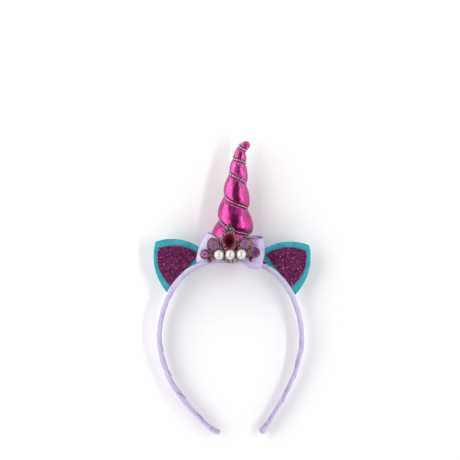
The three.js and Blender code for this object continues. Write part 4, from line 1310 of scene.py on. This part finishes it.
# %% Beaded edges
edge_points = []
plates = [(lobe, 0.0) for lobe in LOBES] + [(stone, stone["border"]) for stone in STONES.values()]
for i, (spec, grow) in enumerate(plates):
    others = [round_outline(s, g - 0.55, 40) for j, (s, g) in enumerate(plates) if j != i] + [bar_outline]
    edge = spaced(round_outline(spec, grow - 0.28, 60), 0.74)
    edge_points += [p for p in edge if not any(inside(p, other) for other in others)]
collet_points = [p for s in STONES.values() for p in spaced(round_outline(s, RIM_WIDTH + 0.1, 60), 0.8)]
collet_points = [p for p in collet_points if not near_pearl(p)]
rose = Paint("rose_metal", Metallic=0.9, Roughness=0.3)
rose_stops = [(0.0, shade(120, 40, 62)), (0.6, shade(190, 88, 108)), (1.0, shade(228, 156, 168))]
rose_material = rose.feed(Base_Color=rose.ramp(rose.read("chance"), *rose_stops))
beads = on_tiara(edge_points, TIARA_PLATE - 0.2, rng) + on_tiara(collet_points, TIARA_PLATE + 0.55, rng)
sprinkle("beaded_edges", bead, beads, rose_material, smooth=True)

# %% [markdown]
# ## Set stones
#
# A cut stone is a stack of rings: a girdle at its widest, two tiers of facets above it, and the flat table.
# Each ring is turned by half a step against the one below, so the facets between them are triangles and
# kites, and the mesh is shaded flat to keep them crisp. Moulded stones like these are opaque, with a foil back,
# so a dark middle in the colour does what refraction does in real glass.

# %% Cut stones
CUTS = {
    "pear": (20, (112, 8, 38), (22, 2, 14), "stone_red"),
    "oval_left": (16, (150, 98, 138), (102, 86, 116), "stone_lilac"),
    "oval_right": (16, (146, 100, 138), (110, 92, 122), "stone_lilac"),
    "small_left": (12, (200, 142, 190), (88, 42, 112), "stone_violet"),
    "small_right": (12, (118, 62, 130), (70, 36, 94), "stone_violet"),
}
# The share of the stone's size and the height of each ring, from the bottom up
CUT_RINGS = [(0.9, 1.75), (1.0, 2.05), (1.0, 2.95), (0.9, 3.12), (0.62, 3.4)]


def cut_ring(spec, share, sides, shift=0.0):
    return round_outline({**spec, "wide": spec["wide"] * share, "high": spec["high"] * share}, 0, sides, shift)


for name, (sides, light, dark, slot_name) in CUTS.items():
    spec = STONES[name]
    bm = bmesh.new()
    lowest = cut_ring(spec, CUT_RINGS[0][0], sides)
    bottom = bm.faces.new([bm.verts.new((p.x, p.y, CUT_RINGS[0][1])) for p in lowest])
    below = list(bottom.verts)
    for level, (share, height) in enumerate(CUT_RINGS[1:], 1):
        outline = cut_ring(spec, share, sides, 0.5 * max(0, level - 2))
        above = [bm.verts.new((p.x, p.y, height)) for p in outline]
        for i in range(sides):
            j = (i + 1) % sides
            if level <= 2:
                bm.faces.new((below[i], below[j], above[j], above[i]))
            else:
                bm.faces.new((below[i], below[j], above[i]))
                bm.faces.new((below[j], above[j], above[i]))
        below = above
    bm.faces.new(below)
    bmesh.ops.recalc_face_normals(bm, faces=bm.faces)
    bmesh.ops.transform(bm, matrix=tiara_at, verts=bm.verts)
    middle = to_model @ tiara_at @ Vector((spec["x"], spec["y"], 3.0))
    gem = Paint(f"gem_{name}", Coat_Weight=0.08, Coat_Roughness=0.05, Roughness=0.3, Specular_IOR_Level=0.2)
    place = gem.stretched(gem.place(), (1 / (spec["wide"] * MM), 1 / (spec["high"] * MM), 0.0))
    centre = (middle.x / (spec["wide"] * MM), middle.y / (spec["high"] * MM), 0.0)
    centred = gem.seen_from(centre, place)
    # Painted shade in the middle of the stone and painted light towards its rim, in place of refraction.
    tone = gem.length(centred) * 0.75 + gem.grains(centred, 2.6) * 0.5 - 0.2
    material = gem.feed(Base_Color=gem.ramp(tone, (0.2, shade(*dark)), (0.85, shade(*light))))
    new_piece(f"cut_{name}", bm, material, [f"stone_{name}"], smooth=False)

# %% [markdown]
# ## Pearls
#
# The three imitation pearls are plastic beads with a flat back, under a pearly lacquer. A UV sphere has the
# shape already, and its back is only pressed flat. Their look is all in the coat: a creamy base that is a
# little rough, with a clear and much smoother layer over it.

# %% Imitation pearls
PEARL_LIFT = 3.92
PEARL_FLAT = 0.55
pearl_lacquer = {"Coat_Weight": 0.7, "Coat_Roughness": 0.16, "Specular_IOR_Level": 0.6, "Sheen_Weight": 0.1}
pearl_paint = Paint("pearl_lacquer", Metallic=0.6, **pearl_lacquer)
pearl_clouds = pearl_paint.noise(pearl_paint.place(), 260.0, 2.0)
pearl_material = pearl_paint.feed(
    Base_Color=pearl_paint.colours(pearl_clouds, shade(224, 219, 212), shade(202, 194, 186)),
    Roughness=0.36 + pearl_clouds * 0.1,
)
for name, x in PEARLS.items():
    bm = bmesh.new()
    bmesh.ops.create_uvsphere(bm, u_segments=48, v_segments=32, radius=PEARL / 2)
    for vert in bm.verts:
        vert.co.z = max(vert.co.z, -PEARL_FLAT * PEARL / 2)
    bmesh.ops.transform(bm, matrix=tiara_at @ Matrix.Translation((x, 0, PEARL_LIFT)), verts=bm.verts)
    new_piece(f"lacquered_{name}", bm, pearl_material, [name])
